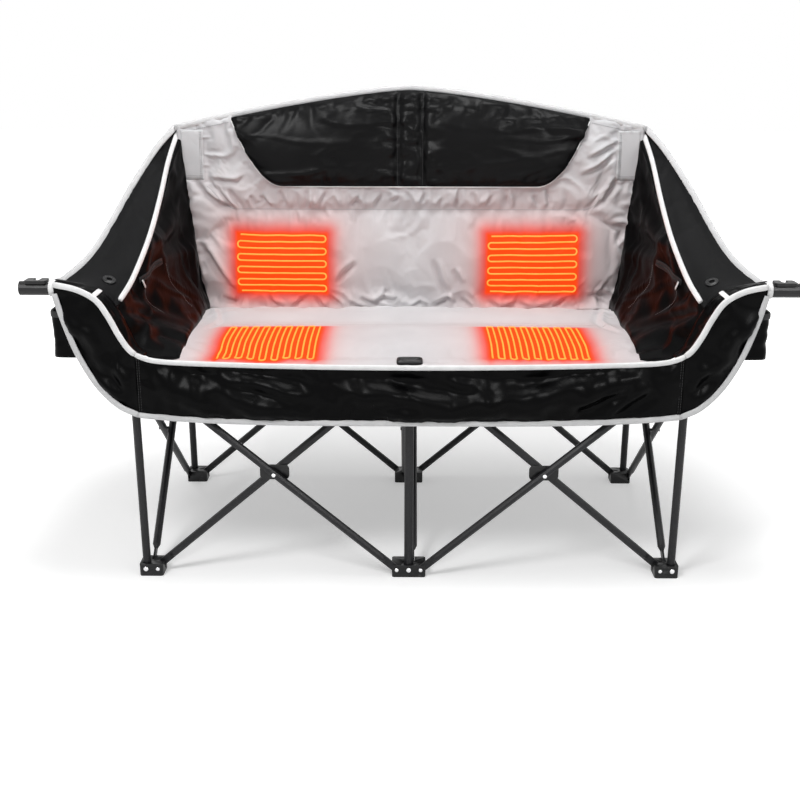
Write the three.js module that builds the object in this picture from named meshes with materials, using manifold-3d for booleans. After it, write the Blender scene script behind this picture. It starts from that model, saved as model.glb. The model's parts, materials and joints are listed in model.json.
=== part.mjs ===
// Folding camping loveseat: a six-leg scissor frame with a padded fabric seat, back and wing arms.
// Millimetres, +X to the right as seen from the front, +Y towards the back of the seat, +Z up.
// The origin is on the floor under the middle of the bounding box.
import * as THREE from "three";
import { mergeVertices } from "three/addons/utils/BufferGeometryUtils.js";
import Module from "manifold-3d";

const wasm = await Module();
wasm.setup();

// Frame grid: three columns of legs in two rows, all scissors with one span and one rise
const bayWidth = 530;
const pivotOffsetX = 24;
const pivotOffsetY = 19;
const footPivotHeight = 16;
const scissorRise = 412;
const scissorSpan = bayWidth - 2 * pivotOffsetX;
const rowDepth = scissorSpan + 2 * pivotOffsetY;
const scissorLength = Math.hypot(scissorSpan, scissorRise);
const hubPivotHeight = footPivotHeight + scissorRise;

// Clearances
const clearance = 0.3;
const runningClearance = 0.5;
const overrun = 1;

// Tubes
const postRadius = 8;
const centreLegRadius = 9.5;
const legBoreRadius = 6.8;
const rodRadius = 6;
const rodLength = 265;
const postWall = 1.4;
const scissorRadius = 8;
const planeOffset = 9.5;
const tongueThickness = 4;
const tongueRadius = 7.5;
const tongueLength = 38;
const noseStart = 30;
const noseTaper = 9;
const pinRadius = 3;
const cornerPostHeight = 836;
const centrePostHeight = 922;
const roundSides = 14;
const smallSides = 10;

// Feet and hubs
const footHeight = 26;
const footFloor = 6;
const hubHeight = 22;
const hubCeiling = 3;
const blockBack = 13.5;
const blockReach = pivotOffsetX + 10;
const blockReachY = pivotOffsetY + 10;
const blockCorner = 5;
const rivetHeadRadius = 4.3;
const postRivetRadius = 5.3;
const rivetHeadHeight = 1.2;
const hubTop = hubPivotHeight + tongueRadius + runningClearance + hubCeiling + overrun;

// Crossing pieces
const crossingWidth = 58;
const crossingHeight = 31;
const crossingCorner = 9;
const crossingReach = planeOffset + scissorRadius + clearance;

// Arms
const strutTipX = 672;
const strutTipHeight = 589;
const holderRadius = 13.5;
const holderEnd = 729;
const holderInner = 660;
const saddleLength = 40;
const saddleWidth = 30;
const saddleThickness = 3;
const stemSlotWidth = 12;
const stemSlotX = 697;
const holderSocketDepth = 9;

// Seat
const seatHalfWidth = 500;
const seatUnderside = hubTop + clearance;
const seatEdgeThickness = 5;
const seatCrown = 13;
const seatFrontReach = 27;
const seatRearGap = 65;
const seatChannelDepth = 2.5;
const seatColumns = 18;
const seatRows = 8;

// Back
const backBottomRise = 10;
const backBottomHeight = hubTop + backBottomRise;
const backCentreHeight = 937;
const backCornerHeight = 850;
const backTopPower = 1.35;
const backHalfWidthBottom = seatHalfWidth;
const backHalfWidthTop = 528;
const backRearBottomGap = 44;
const backRearTopGap = postRadius + clearance;
const backEdgeThickness = 8;
const backCrown = 16;
const backSeamHeight = 670;
const backSeamDepth = 7;
const poleChannelHalfWidth = 28;
const poleChannelDepth = 3;
const poleChannelSoftness = 15;
const backColumns = 28;
const backRows = 12;

// Headrest panel
const headrestBottomHeight = 721;
const headrestHalfWidthTop = 398;
const headrestHalfWidthBottom = 285;
const headrestThickness = 2.5;
const headrestInset = 4;
const headrestSteps = 12;

// Heating mats
const heatMatThickness = 2;
const heatMatWidth = 200;
const heatMatInnerX = 180;
const seatMatFrontGap = 8;
const seatMatDepth = 228;
const backMatRise = 36;
const backMatBottomHeight = backBottomHeight + backMatRise;
const backMatHeight = 131;
const heatLeadWidth = 14;

// Power button
const buttonLength = 50;
const buttonWidth = 24;
const buttonThickness = 4;
const buttonGap = 0.7;
const buttonSetback = 6;

// Apron and arm fabric
const fabricThickness = 3;
const apronReach = 38;
const apronTopReach = 31;
const apronTopHeight = 448;
const apronHemHeight = 334;
const apronSeamX = 515;
const apronFold = 3;
const apronFoldWaves = 9;
const apronColumns = 27;
const apronRows = 4;
const apronHemShare = 0.5;
const armFoldWaves = 3;
const armApronColumns = 10;
const armTipX = 660;
const armTipHeight = 594;
const armTipReach = holderRadius + fabricThickness / 2 + clearance;
const wingFrontY = 76;
const wingRearInset = postRadius + clearance;
const wingRearX = bayWidth + fabricThickness;
const wingRearWidth = 10;
const wingRearDrop = 10;
const wingInnerTipX = 552;
const wingInnerTipHeight = 560;
const wingOuterSag = 34;
const wingInnerSag = 20;
const wingOuterFlare = 1.2;
const wingColumns = 14;
const wingRows = 3;
const wingInnerFlare = 1.5;
const sideBottomGap = 4;
const sideBottomX = seatHalfWidth + sideBottomGap;
const sideSeamOffset = fabricThickness / 2;
const sideWrinkle = 5;
const sideWrinkleWaves = 3;
const sideColumns = 12;
const sideRows = 6;
const sideWrinkleSlant = 4;
const sideCurve = 0.85;

// Side pouches
const pouchInnerX = 596;
const pouchWidth = 90;
const pouchOuterX = pouchInnerX + pouchWidth;
const pouchFrontY = scissorRadius + clearance;
const pouchDepth = 96;
const pouchRearY = pouchFrontY + pouchDepth;
const pouchDrop = 14;
const pouchHeight = 118;
const pouchTopHeight = strutTipHeight - holderRadius - pouchDrop;
const pouchBottomHeight = pouchTopHeight - pouchHeight;
const pouchCorner = 16;

// Rows and columns, with the bounding box centred on the origin
const frontRowY = -(rowDepth + crossingReach + rivetHeadHeight - apronReach) / 2;
const rearRowY = frontRowY + rowDepth;
const columns = { left: -bayWidth, centre: 0, right: bayWidth };
const rows = { front: frontRowY, rear: rearRowY };

const FULL_TURN = 2 * Math.PI;
const X_AXIS = new THREE.Vector3(1, 0, 0);
const Y_AXIS = new THREE.Vector3(0, 1, 0);

// Materials
const colours = {
  plastic: { color: 0x111112, roughness: 0.45, metalness: 0 },
  steel: { color: 0x1b1b1c, roughness: 0.5, metalness: 0.6 },
  nylon: { color: 0x0d0d0e, roughness: 0.55, metalness: 0 },
  padding: { color: 0xcfcfd1, roughness: 0.8, metalness: 0 },
  heater: { color: 0xff5a1e, roughness: 0.6, metalness: 0 },
};

// Geometry helpers
function toSolid(geometry) {
  const bare = geometry.clone();
  for (const name of Object.keys(bare.attributes)) {
    if (name !== "position") bare.deleteAttribute(name);
  }
  const merged = mergeVertices(bare, 1e-3);
  return new wasm.Manifold(
    new wasm.Mesh({
      numProp: 3,
      vertProperties: merged.attributes.position.array,
      triVerts: new Uint32Array(merged.index.array),
    }),
  );
}

function toGeometry(solid) {
  const mesh = solid.getMesh();
  const geometry = new THREE.BufferGeometry();
  geometry.setAttribute("position", new THREE.BufferAttribute(mesh.vertProperties, 3));
  geometry.setIndex(new THREE.BufferAttribute(mesh.triVerts, 1));
  geometry.computeVertexNormals();
  return geometry;
}

function carve(body, adds, cuts) {
  let solid = toSolid(body);
  for (const geometry of adds) solid = solid.add(toSolid(geometry));
  for (const geometry of cuts) solid = solid.subtract(toSolid(geometry));
  return toGeometry(solid);
}

function box(x0, x1, y0, y1, z0, z1) {
  const geometry = new THREE.BoxGeometry(Math.abs(x1 - x0), Math.abs(y1 - y0), z1 - z0);
  return geometry.translate((x0 + x1) / 2, (y0 + y1) / 2, (z0 + z1) / 2);
}

function uprightCylinder(radius, z0, z1, x, y, sides) {
  const geometry = new THREE.CylinderGeometry(radius, radius, z1 - z0, sides);
  return geometry.rotateX(Math.PI / 2).translate(x, y, (z0 + z1) / 2);
}

function cylinderAlongY(radius, y0, y1, x, z, sides) {
  const geometry = new THREE.CylinderGeometry(radius, radius, Math.abs(y1 - y0), sides);
  return geometry.translate(x, (y0 + y1) / 2, z);
}

function cylinderAlongX(radius, x0, x1, y, z, sides) {
  const geometry = new THREE.CylinderGeometry(radius, radius, Math.abs(x1 - x0), sides);
  return geometry.rotateZ(Math.PI / 2).translate((x0 + x1) / 2, y, z);
}

function pipe(outer, inner, z0, z1) {
  const profile = [
    [inner, z0],
    [outer, z0],
    [outer, z1],
    [inner, z1],
    [inner, z0],
  ].map(([r, z]) => new THREE.Vector2(r, z));
  return new THREE.LatheGeometry(profile, roundSides).rotateX(Math.PI / 2);
}

function roundedOutline(x0, x1, y0, y1, radius) {
  const shape = new THREE.Shape();
  shape.moveTo(x0 + radius, y0);
  shape.lineTo(x1 - radius, y0);
  shape.absarc(x1 - radius, y0 + radius, radius, -Math.PI / 2, 0);
  shape.lineTo(x1, y1 - radius);
  shape.absarc(x1 - radius, y1 - radius, radius, 0, Math.PI / 2);
  shape.lineTo(x0 + radius, y1);
  shape.absarc(x0 + radius, y1 - radius, radius, Math.PI / 2, Math.PI);
  shape.lineTo(x0, y0 + radius);
  shape.absarc(x0 + radius, y0 + radius, radius, Math.PI, 1.5 * Math.PI);
  return shape;
}

function extrude(shape, depth, steps) {
  return new THREE.ExtrudeGeometry(shape, { depth, bevelEnabled: false, curveSegments: steps });
}

// A closed body between two grids of points: near(u, v) and far(u, v), with u and v from 0 to 1
function gridBody(countU, countV, near, far) {
  const positions = [];
  const index = [];
  const perSide = (countU + 1) * (countV + 1);
  for (const side of [near, far]) {
    for (let j = 0; j <= countV; j++) {
      for (let i = 0; i <= countU; i++) positions.push(...side(i / countU, j / countV));
    }
  }
  const at = (side, i, j) => side * perSide + j * (countU + 1) + i;
  const quad = (a, b, c, d) => index.push(a, b, c, a, c, d);
  for (let j = 0; j < countV; j++) {
    for (let i = 0; i < countU; i++) {
      quad(at(0, i, j), at(0, i + 1, j), at(0, i + 1, j + 1), at(0, i, j + 1));
      quad(at(1, i, j), at(1, i, j + 1), at(1, i + 1, j + 1), at(1, i + 1, j));
    }
  }
  for (let i = 0; i < countU; i++) {
    quad(at(0, i, 0), at(1, i, 0), at(1, i + 1, 0), at(0, i + 1, 0));
    quad(at(0, i, countV), at(0, i + 1, countV), at(1, i + 1, countV), at(1, i, countV));
  }
  for (let j = 0; j < countV; j++) {
    quad(at(0, 0, j), at(0, 0, j + 1), at(1, 0, j + 1), at(1, 0, j));
    quad(at(0, countU, j), at(1, countU, j), at(1, countU, j + 1), at(0, countU, j + 1));
  }
  const geometry = new THREE.BufferGeometry();
  geometry.setAttribute("position", new THREE.Float32BufferAttribute(positions, 3));
  geometry.setIndex(index);
  const solid = toSolid(geometry);
  if (solid.volume() < 0) {
    for (let k = 0; k < index.length; k += 3) [index[k + 1], index[k + 2]] = [index[k + 2], index[k + 1]];
    geometry.setIndex(index);
  }
  return geometry;
}

// A thin sheet of fabric: surface(u, v) is its middle, and it is thick along its normal
function fabricSheet(countU, countV, surface, thickness) {
  const step = 1e-3;
  const point = (u, v) => new THREE.Vector3(...surface(u, v));
  const offset = (u, v, amount) => {
    const alongU = point(Math.min(u + step, 1), v).sub(point(Math.max(u - step, 0), v));
    const alongV = point(u, Math.min(v + step, 1)).sub(point(u, Math.max(v - step, 0)));
    const normal = alongU.cross(alongV).normalize();
    return point(u, v).addScaledVector(normal, amount).toArray();
  };
  return gridBody(
    countU,
    countV,
    (u, v) => offset(u, v, thickness / 2),
    (u, v) => offset(u, v, -thickness / 2),
  );
}

const lerp = THREE.MathUtils.lerp;
const bulge = (t) => 4 * t * (1 - t);
const plateau = (t) => 1 - Math.pow(Math.abs(2 * t - 1), 4);
const dip = (x, at, width) => Math.exp(-(((x - at) / width) ** 2));

const model = new THREE.Group();

function place(parent, name, geometry, colour) {
  const mesh = new THREE.Mesh(geometry, new THREE.MeshStandardMaterial(colours[colour]));
  mesh.name = name;
  parent.add(mesh);
  return mesh;
}

// Slots and pins that a foot and a hub share
function slotAcrossY(side, plane, z0, z1) {
  const half = tongueThickness / 2 + runningClearance;
  const inner = pivotOffsetX - tongueRadius - runningClearance - overrun;
  return box(side * inner, side * (blockReach + overrun), plane - half, plane + half, z0, z1);
}

function slotAcrossX(side, plane, z0, z1) {
  const half = tongueThickness / 2 + runningClearance;
  const inner = pivotOffsetY - tongueRadius - runningClearance - overrun;
  return box(plane - half, plane + half, side * inner, side * (blockReachY + overrun), z0, z1);
}

function pinAlongY(side, plane, z) {
  const half = tongueThickness / 2 + runningClearance + overrun;
  return cylinderAlongY(pinRadius, plane - half, plane + half, side * pivotOffsetX, z, smallSides);
}

function pinAlongX(side, plane, z) {
  const half = tongueThickness / 2 + runningClearance + overrun;
  return cylinderAlongX(pinRadius, plane - half, plane + half, side * pivotOffsetY, z, smallSides);
}

// The rounded block under or on a leg, reaching to each scissor pivot
function legBlock(sidesX, sideY, height) {
  const x0 = sidesX.includes(-1) ? -blockReach : -blockBack;
  const x1 = sidesX.includes(1) ? blockReach : blockBack;
  const y0 = sideY > 0 ? -blockBack : -blockReachY;
  const y1 = sideY > 0 ? blockReachY : blockBack;
  return extrude(roundedOutline(x0, x1, y0, y1, blockCorner), height, 2);
}

function rivetHeads(sidesX, sideY, z) {
  const outerY = -sideY * blockBack;
  const headY = outerY - sideY * rivetHeadHeight;
  const inside = outerY + sideY * overrun;
  const heads = [cylinderAlongY(postRivetRadius, inside, headY, 0, z, smallSides)];
  for (const side of sidesX) {
    heads.push(cylinderAlongY(rivetHeadRadius, inside, headY, side * pivotOffsetX, z, smallSides));
  }
  return heads;
}

function footGeometry({ sidesX, planeY, sideY, planeX, legRadius }) {
  const z = footPivotHeight;
  const top = footHeight + overrun;
  const floor = z - tongueRadius - runningClearance;
  const cuts = [uprightCylinder(legRadius + clearance, footFloor, top, 0, 0, roundSides)];
  const pins = [];
  for (const side of sidesX) {
    cuts.push(slotAcrossY(side, planeY, floor, top));
    pins.push(pinAlongY(side, planeY, z));
  }
  cuts.push(slotAcrossX(sideY, planeX, floor, top));
  pins.push(pinAlongX(sideY, planeX, z));
  const block = toSolid(carve(legBlock(sidesX, sideY, footHeight), rivetHeads(sidesX, sideY, z), cuts));
  return toGeometry(pins.reduce((solid, pin) => solid.add(toSolid(pin)), block));
}

function hubGeometry({ sidesX, planeY, sideY, planeX, bore, through, strutSide }) {
  const pivot = hubPivotHeight;
  const top = hubTop;
  const bottom = top - hubHeight;
  const ceiling = top - hubCeiling;
  const reachSides = strutSide ? [...sidesX, strutSide] : sidesX;
  const body = legBlock(reachSides, sideY, hubHeight).translate(0, 0, bottom);
  const boreTop = through ? top + overrun : ceiling;
  const cuts = [uprightCylinder(bore, bottom - overrun, boreTop, 0, 0, roundSides)];
  const pins = [];
  for (const side of sidesX) {
    cuts.push(slotAcrossY(side, planeY, bottom - overrun, ceiling));
    pins.push(pinAlongY(side, planeY, pivot));
  }
  cuts.push(slotAcrossX(sideY, planeX, bottom - overrun, ceiling));
  pins.push(pinAlongX(sideY, planeX, pivot));
  if (strutSide) {
    const floor = pivot - tongueRadius - runningClearance;
    cuts.push(slotAcrossY(strutSide, 0, floor, top + overrun));
    pins.push(pinAlongY(strutSide, 0, pivot));
  }
  const block = toSolid(carve(body, [], cuts));
  return toGeometry(pins.reduce((solid, pin) => solid.add(toSolid(pin)), block));
}

// A scissor tube lies along local X from its foot pivot to its hub pivot, and its pins run along local Y.
function tongueGeometry(atEnd, length) {
  const shape = new THREE.Shape();
  const inner = atEnd ? length - tongueLength : tongueLength;
  const end = atEnd ? length : 0;
  if (atEnd) {
    shape.moveTo(inner, -tongueRadius);
    shape.lineTo(end, -tongueRadius);
    shape.absarc(end, 0, tongueRadius, -Math.PI / 2, Math.PI / 2);
    shape.lineTo(inner, tongueRadius);
  } else {
    shape.moveTo(inner, tongueRadius);
    shape.lineTo(end, tongueRadius);
    shape.absarc(end, 0, tongueRadius, Math.PI / 2, 1.5 * Math.PI);
    shape.lineTo(inner, -tongueRadius);
  }
  const hole = new THREE.Path();
  hole.absarc(end, 0, pinRadius + runningClearance, 0, FULL_TURN);
  shape.holes.push(hole);
  const plate = extrude(shape, tongueThickness, 4);
  return plate.rotateX(Math.PI / 2).translate(0, tongueThickness / 2, 0);
}

function roundBar(length, start, end) {
  const profile = [
    [0, start],
    [scissorRadius / 2, start],
    [scissorRadius, start + noseTaper],
    [scissorRadius, end - noseTaper],
    [scissorRadius / 2, end],
    [0, end],
  ].map(([r, x]) => new THREE.Vector2(r, x));
  return new THREE.LatheGeometry(profile, smallSides).rotateZ(-Math.PI / 2);
}

function scissorGeometry(crossHole, crossPin) {
  const length = scissorLength;
  const bar = roundBar(length, noseStart, length - noseStart);
  const reach = scissorRadius + overrun;
  const hole = cylinderAlongY(pinRadius + runningClearance, -reach, reach, length / 2, 0, smallSides);
  const adds = [tongueGeometry(false, length), tongueGeometry(true, length)];
  if (crossPin) {
    const near = crossPin * (scissorRadius - overrun);
    const far = crossPin * (2 * planeOffset + scissorRadius + clearance);
    const head = far + crossPin * rivetHeadHeight;
    adds.push(cylinderAlongY(pinRadius, near, head, length / 2, 0, smallSides));
    adds.push(cylinderAlongY(rivetHeadRadius, far, head, length / 2, 0, smallSides));
  }
  return carve(bar, adds, crossHole ? [hole] : []);
}

function placeScissor(name, foot, hub, across, crossHole, crossPin) {
  const along = hub.clone().sub(foot).normalize();
  const pinAxis = across.clone();
  const third = along.clone().cross(pinAxis);
  const mesh = place(model, name, scissorGeometry(crossHole, crossPin), "steel");
  mesh.quaternion.setFromRotationMatrix(new THREE.Matrix4().makeBasis(along, pinAxis, third));
  mesh.position.copy(foot);
}

// Feet, legs, posts, rods and hubs on the grid
function addLegs() {
  for (const [row, y] of Object.entries(rows)) {
    const sideY = row === "front" ? 1 : -1;
    for (const [column, x] of Object.entries(columns)) {
      const inward = -Math.sign(x);
      const sidesX = x === 0 ? [-1, 1] : [inward];
      const columnSide = x === 0 ? 1 : inward;
      const footPlaneY = (x === 0 ? -1 : 1) * sideY * planeOffset;
      const footPlaneX = (row === "front" ? 1 : -1) * columnSide * planeOffset;
      const site = new THREE.Group();
      site.position.set(x, y, 0);
      model.add(site);
      const legRadius = row === "front" && x === 0 ? centreLegRadius : postRadius;
      const footSlots = { sidesX, planeY: footPlaneY, sideY, planeX: footPlaneX, legRadius };
      place(site, `foot_${row}_${column}`, footGeometry(footSlots), "plastic");
      const hubSlots = { sidesX, planeY: -footPlaneY, sideY, planeX: -footPlaneX };
      if (row === "front") {
        addFrontLeg(site, column, hubSlots, legRadius, x === 0 ? 0 : -inward);
      } else {
        addRearPost(site, column, hubSlots);
      }
    }
  }
}

function addFrontLeg(site, column, slots, legRadius, strutSide) {
  const legTop = hubTop - hubHeight - clearance;
  const legBottom = footFloor + clearance;
  const rodTop = hubTop - hubCeiling - clearance;
  place(site, `leg_front_${column}`, pipe(legRadius, legBoreRadius, legBottom, legTop), "steel");
  const rod = uprightCylinder(rodRadius, rodTop - rodLength, rodTop, 0, 0, roundSides);
  place(site, `rod_front_${column}`, rod, "steel");
  const hub = hubGeometry({ ...slots, bore: rodRadius + clearance, through: false, strutSide });
  place(site, `hub_front_${column}`, hub, "plastic");
}

function addRearPost(site, column, slots) {
  const top = column === "centre" ? centrePostHeight : cornerPostHeight;
  const post = pipe(postRadius, postRadius - postWall, footFloor + clearance, top);
  place(site, `post_rear_${column}`, post, "steel");
  const hub = hubGeometry({ ...slots, bore: postRadius + runningClearance, through: true, strutSide: 0 });
  place(site, `hub_rear_${column}`, hub, "plastic");
}

// Scissor pairs between neighbouring legs
function addScissors() {
  const low = footPivotHeight;
  const high = hubPivotHeight;
  for (const [row, y] of Object.entries(rows)) {
    const outward = row === "front" ? -1 : 1;
    for (const side of [-1, 1]) {
      const name = side < 0 ? "left" : "right";
      const cornerX = side * (bayWidth - pivotOffsetX);
      const centreX = side * pivotOffsetX;
      const outerPlane = y + outward * planeOffset;
      const innerPlane = y - outward * planeOffset;
      placeScissor(
        `scissor_${row}_${name}_rising_out`,
        new THREE.Vector3(centreX, outerPlane, low),
        new THREE.Vector3(cornerX, outerPlane, high),
        Y_AXIS,
        true,
        0,
      );
      placeScissor(
        `scissor_${row}_${name}_rising_in`,
        new THREE.Vector3(cornerX, innerPlane, low),
        new THREE.Vector3(centreX, innerPlane, high),
        Y_AXIS,
        true,
        0,
      );
      addCrossing(`crossing_${row}_${name}`, (side * bayWidth) / 2, y);
    }
  }
  for (const [column, x] of Object.entries(columns)) {
    const inward = x === 0 ? 1 : -Math.sign(x);
    const rearPlane = x - inward * planeOffset;
    const frontPlane = x + inward * planeOffset;
    const nearY = frontRowY + pivotOffsetY;
    const farY = rearRowY - pivotOffsetY;
    placeScissor(
      `scissor_side_${column}_rising_back`,
      new THREE.Vector3(frontPlane, nearY, low),
      new THREE.Vector3(frontPlane, farY, high),
      X_AXIS,
      false,
      -inward,
    );
    placeScissor(
      `scissor_side_${column}_rising_front`,
      new THREE.Vector3(rearPlane, farY, low),
      new THREE.Vector3(rearPlane, nearY, high),
      X_AXIS,
      true,
      0,
    );
  }
}

// The plastic spacer between two crossing tubes, with the rivet that joins them
function addCrossing(name, x, y) {
  const half = planeOffset - scissorRadius - clearance;
  const outline = roundedOutline(
    -crossingWidth / 2,
    crossingWidth / 2,
    -crossingHeight / 2,
    crossingHeight / 2,
    crossingCorner,
  );
  const plate = extrude(outline, 2 * half, 3).rotateX(Math.PI / 2).translate(0, half, 0);
  const reach = crossingReach;
  const head = reach + rivetHeadHeight;
  const adds = [
    cylinderAlongY(pinRadius, -head, head, 0, 0, smallSides),
    cylinderAlongY(rivetHeadRadius, reach, head, 0, 0, smallSides),
    cylinderAlongY(rivetHeadRadius, -head, -reach, 0, 0, smallSides),
  ];
  const mesh = place(model, name, carve(plate, adds, []), "plastic");
  mesh.position.set(x, y, footPivotHeight + scissorRise / 2);
}

// Arm struts and the slotted holders on their tips
function addArms() {
  for (const side of [-1, 1]) {
    const name = side < 0 ? "left" : "right";
    const pivot = new THREE.Vector3(side * (bayWidth + pivotOffsetX), frontRowY, hubPivotHeight);
    const tip = new THREE.Vector3(side * strutTipX, frontRowY, strutTipHeight);
    const length = pivot.distanceTo(tip);
    const along = tip.clone().sub(pivot).normalize();
    const bar = roundBar(length, noseStart, length - holderRadius + holderSocketDepth);
    const mesh = place(model, `arm_strut_${name}`, carve(bar, [tongueGeometry(false, length)], []), "steel");
    const third = along.clone().cross(Y_AXIS);
    mesh.quaternion.setFromRotationMatrix(new THREE.Matrix4().makeBasis(along, Y_AXIS, third));
    mesh.position.copy(pivot);
    addHolder(name, side, along, length);
  }
}

function addHolder(name, side, along, length) {
  const x0 = side * holderInner;
  const x1 = side * holderEnd;
  const z = strutTipHeight;
  const barrel = cylinderAlongX(holderRadius, x0, x1, 0, z, roundSides);
  const saddleX = side * stemSlotX;
  const plateTop = z + holderRadius + saddleThickness;
  const outline = roundedOutline(
    -saddleLength / 2,
    saddleLength / 2,
    -saddleWidth / 2,
    saddleWidth / 2,
    blockCorner,
  );
  const saddle = extrude(outline, saddleThickness * 2, 3);
  saddle.translate(saddleX, 0, plateTop - saddleThickness * 2);
  const half = stemSlotWidth / 2;
  const low = z - holderRadius - overrun;
  const high = plateTop + overrun;
  const slot = box(saddleX - half, saddleX + half, 0, saddleWidth, low, high);
  const slotEnd = uprightCylinder(half, low, high, saddleX, 0, smallSides);
  const socket = roundBar(length, noseStart, length - holderRadius + holderSocketDepth + clearance);
  const ease = (scissorRadius + clearance) / scissorRadius;
  socket.scale(1, ease, ease);
  const third = along.clone().cross(Y_AXIS);
  socket.applyMatrix4(new THREE.Matrix4().makeBasis(along, Y_AXIS, third));
  socket.translate(side * (bayWidth + pivotOffsetX), 0, hubPivotHeight);
  const mesh = place(model, `stem_holder_${name}`, carve(barrel, [saddle], [slot, slotEnd, socket]), "plastic");
  mesh.position.set(0, frontRowY, 0);
}

// Seat surface: crowned, drawn in at its edges, with a soft channel along its middle seam
const seatFrontY = frontRowY - seatFrontReach;
const seatRearY = rearRowY - seatRearGap;
const seatMiddleY = (frontRowY + rearRowY) / 2;

function seatTop(x, y) {
  const across = plateau((x / seatHalfWidth + 1) / 2);
  const along = plateau((y - seatFrontY) / (seatRearY - seatFrontY));
  const channel = seatChannelDepth * dip(y, seatMiddleY, seatRearGap / 2);
  return seatUnderside + seatEdgeThickness + seatCrown * across * along - channel * across;
}

function seatHalf(y0, y1) {
  const at = (u, v) => [lerp(-seatHalfWidth, seatHalfWidth, u), lerp(y0, y1, v)];
  return gridBody(
    seatColumns,
    seatRows,
    (u, v) => [...at(u, v), seatTop(...at(u, v))],
    (u, v) => [...at(u, v), seatUnderside],
  );
}

function addSeat() {
  const gap = clearance / 2;
  place(model, "seat_pad_front", seatHalf(seatFrontY, seatMiddleY - gap), "padding");
  place(model, "seat_pad_rear", seatHalf(seatMiddleY + gap, seatRearY), "padding");
}

// Back surface: share runs from the bottom edge to the curved top edge
function backTopHeight(x) {
  const reach = Math.min(1, Math.abs(x) / backHalfWidthTop);
  return backCentreHeight - (backCentreHeight - backCornerHeight) * Math.pow(reach, backTopPower);
}

function backRearY(z) {
  const share = (z - backBottomHeight) / (centrePostHeight - backBottomHeight);
  return rearRowY - lerp(backRearBottomGap, backRearTopGap, share);
}

function backHalfWidth(z) {
  const share = (z - backBottomHeight) / (backCentreHeight - backBottomHeight);
  return lerp(backHalfWidthBottom, backHalfWidthTop, share);
}

function backThickness(x, z) {
  const across = plateau((x / backHalfWidth(z) + 1) / 2);
  const share = (z - backBottomHeight) / (backTopHeight(x) - backBottomHeight);
  const crown = backCrown * across * plateau(THREE.MathUtils.clamp(share, 0, 1));
  const seam = backSeamDepth * across * dip(z, backSeamHeight, backSeamDepth * 2);
  const pole = poleChannelDepth * dip(Math.abs(x), poleChannelHalfWidth, poleChannelSoftness);
  return backEdgeThickness + Math.max(0, crown - seam - (z > headrestBottomHeight ? pole : 0));
}

function backPoint(u, v) {
  const roughX = lerp(-backHalfWidthTop, backHalfWidthTop, u);
  const z = lerp(backBottomHeight, backTopHeight(roughX), v);
  return [lerp(-1, 1, u) * backHalfWidth(z), z];
}

function addBack() {
  const front = (u, v) => {
    const [x, z] = backPoint(u, v);
    return [x, backRearY(z) - backThickness(x, z), z];
  };
  const rear = (u, v) => {
    const [x, z] = backPoint(u, v);
    return [x, backRearY(z), z];
  };
  const pad = gridBody(backColumns, backRows, front, rear);
  place(model, "back_pad", pad, "padding");
  addHeadrest(pad);
}

// The dark panel sewn on the upper back, wider at its top, with rounded lower corners
function headrestOutline() {
  const outline = new THREE.Shape();
  const steps = headrestSteps;
  const shoulder = (headrestHalfWidthTop + headrestHalfWidthBottom) / 2;
  const sideHeight = backTopHeight(headrestHalfWidthTop) - headrestInset;
  outline.moveTo(-headrestHalfWidthBottom, headrestBottomHeight);
  outline.lineTo(headrestHalfWidthBottom, headrestBottomHeight);
  outline.quadraticCurveTo(shoulder, headrestBottomHeight, headrestHalfWidthTop, sideHeight);
  for (let i = 1; i < steps; i++) {
    const x = lerp(headrestHalfWidthTop, -headrestHalfWidthTop, i / steps);
    outline.lineTo(x, backTopHeight(x) - headrestInset);
  }
  outline.lineTo(-headrestHalfWidthTop, sideHeight);
  outline.quadraticCurveTo(-shoulder, headrestBottomHeight, -headrestHalfWidthBottom, headrestBottomHeight);
  return outline;
}

function addHeadrest(pad) {
  const depth = backRearBottomGap * 2;
  const prism = extrude(headrestOutline(), depth, 5).rotateX(Math.PI / 2).translate(0, rearRowY, 0);
  const outer = toSolid(pad).translate(0, -clearance - headrestThickness, 0);
  const inner = toSolid(pad).translate(0, -clearance, 0);
  const panel = outer.intersect(toSolid(prism)).subtract(inner);
  place(model, "headrest_panel", toGeometry(panel), "nylon");
}

// Two heating mats and the flat lead that joins them, under the seat and behind the back
function matPair(z0, z1, leadMiddle) {
  const outline = new THREE.Shape();
  const outer = heatMatInnerX + heatMatWidth;
  const leadLow = leadMiddle - heatLeadWidth / 2;
  const leadHigh = leadMiddle + heatLeadWidth / 2;
  outline.moveTo(-outer, z0);
  outline.lineTo(-heatMatInnerX, z0);
  outline.lineTo(-heatMatInnerX, leadLow);
  outline.lineTo(heatMatInnerX, leadLow);
  outline.lineTo(heatMatInnerX, z0);
  outline.lineTo(outer, z0);
  outline.lineTo(outer, z1);
  outline.lineTo(heatMatInnerX, z1);
  outline.lineTo(heatMatInnerX, leadHigh);
  outline.lineTo(-heatMatInnerX, leadHigh);
  outline.lineTo(-heatMatInnerX, z1);
  outline.lineTo(-outer, z1);
  return extrude(outline, heatMatThickness, 1);
}

function addHeaters() {
  const seatY0 = frontRowY + seatMatFrontGap;
  const seatMats = matPair(seatY0, seatY0 + seatMatDepth, seatY0 + seatMatDepth - heatLeadWidth);
  seatMats.translate(0, 0, seatUnderside - clearance - heatMatThickness);
  place(model, "heating_mats_seat", seatMats, "heater");
  const rise = centrePostHeight - backBottomHeight;
  const lean = Math.atan2(backRearBottomGap - backRearTopGap, rise);
  const backMats = matPair(0, backMatHeight, backMatHeight / 2);
  backMats.rotateX(Math.PI / 2 - lean);
  const y = backRearY(backMatBottomHeight) + clearance + heatMatThickness / Math.cos(lean);
  backMats.translate(0, y, backMatBottomHeight);
  place(model, "heating_mats_back", backMats, "heater");
}

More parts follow.
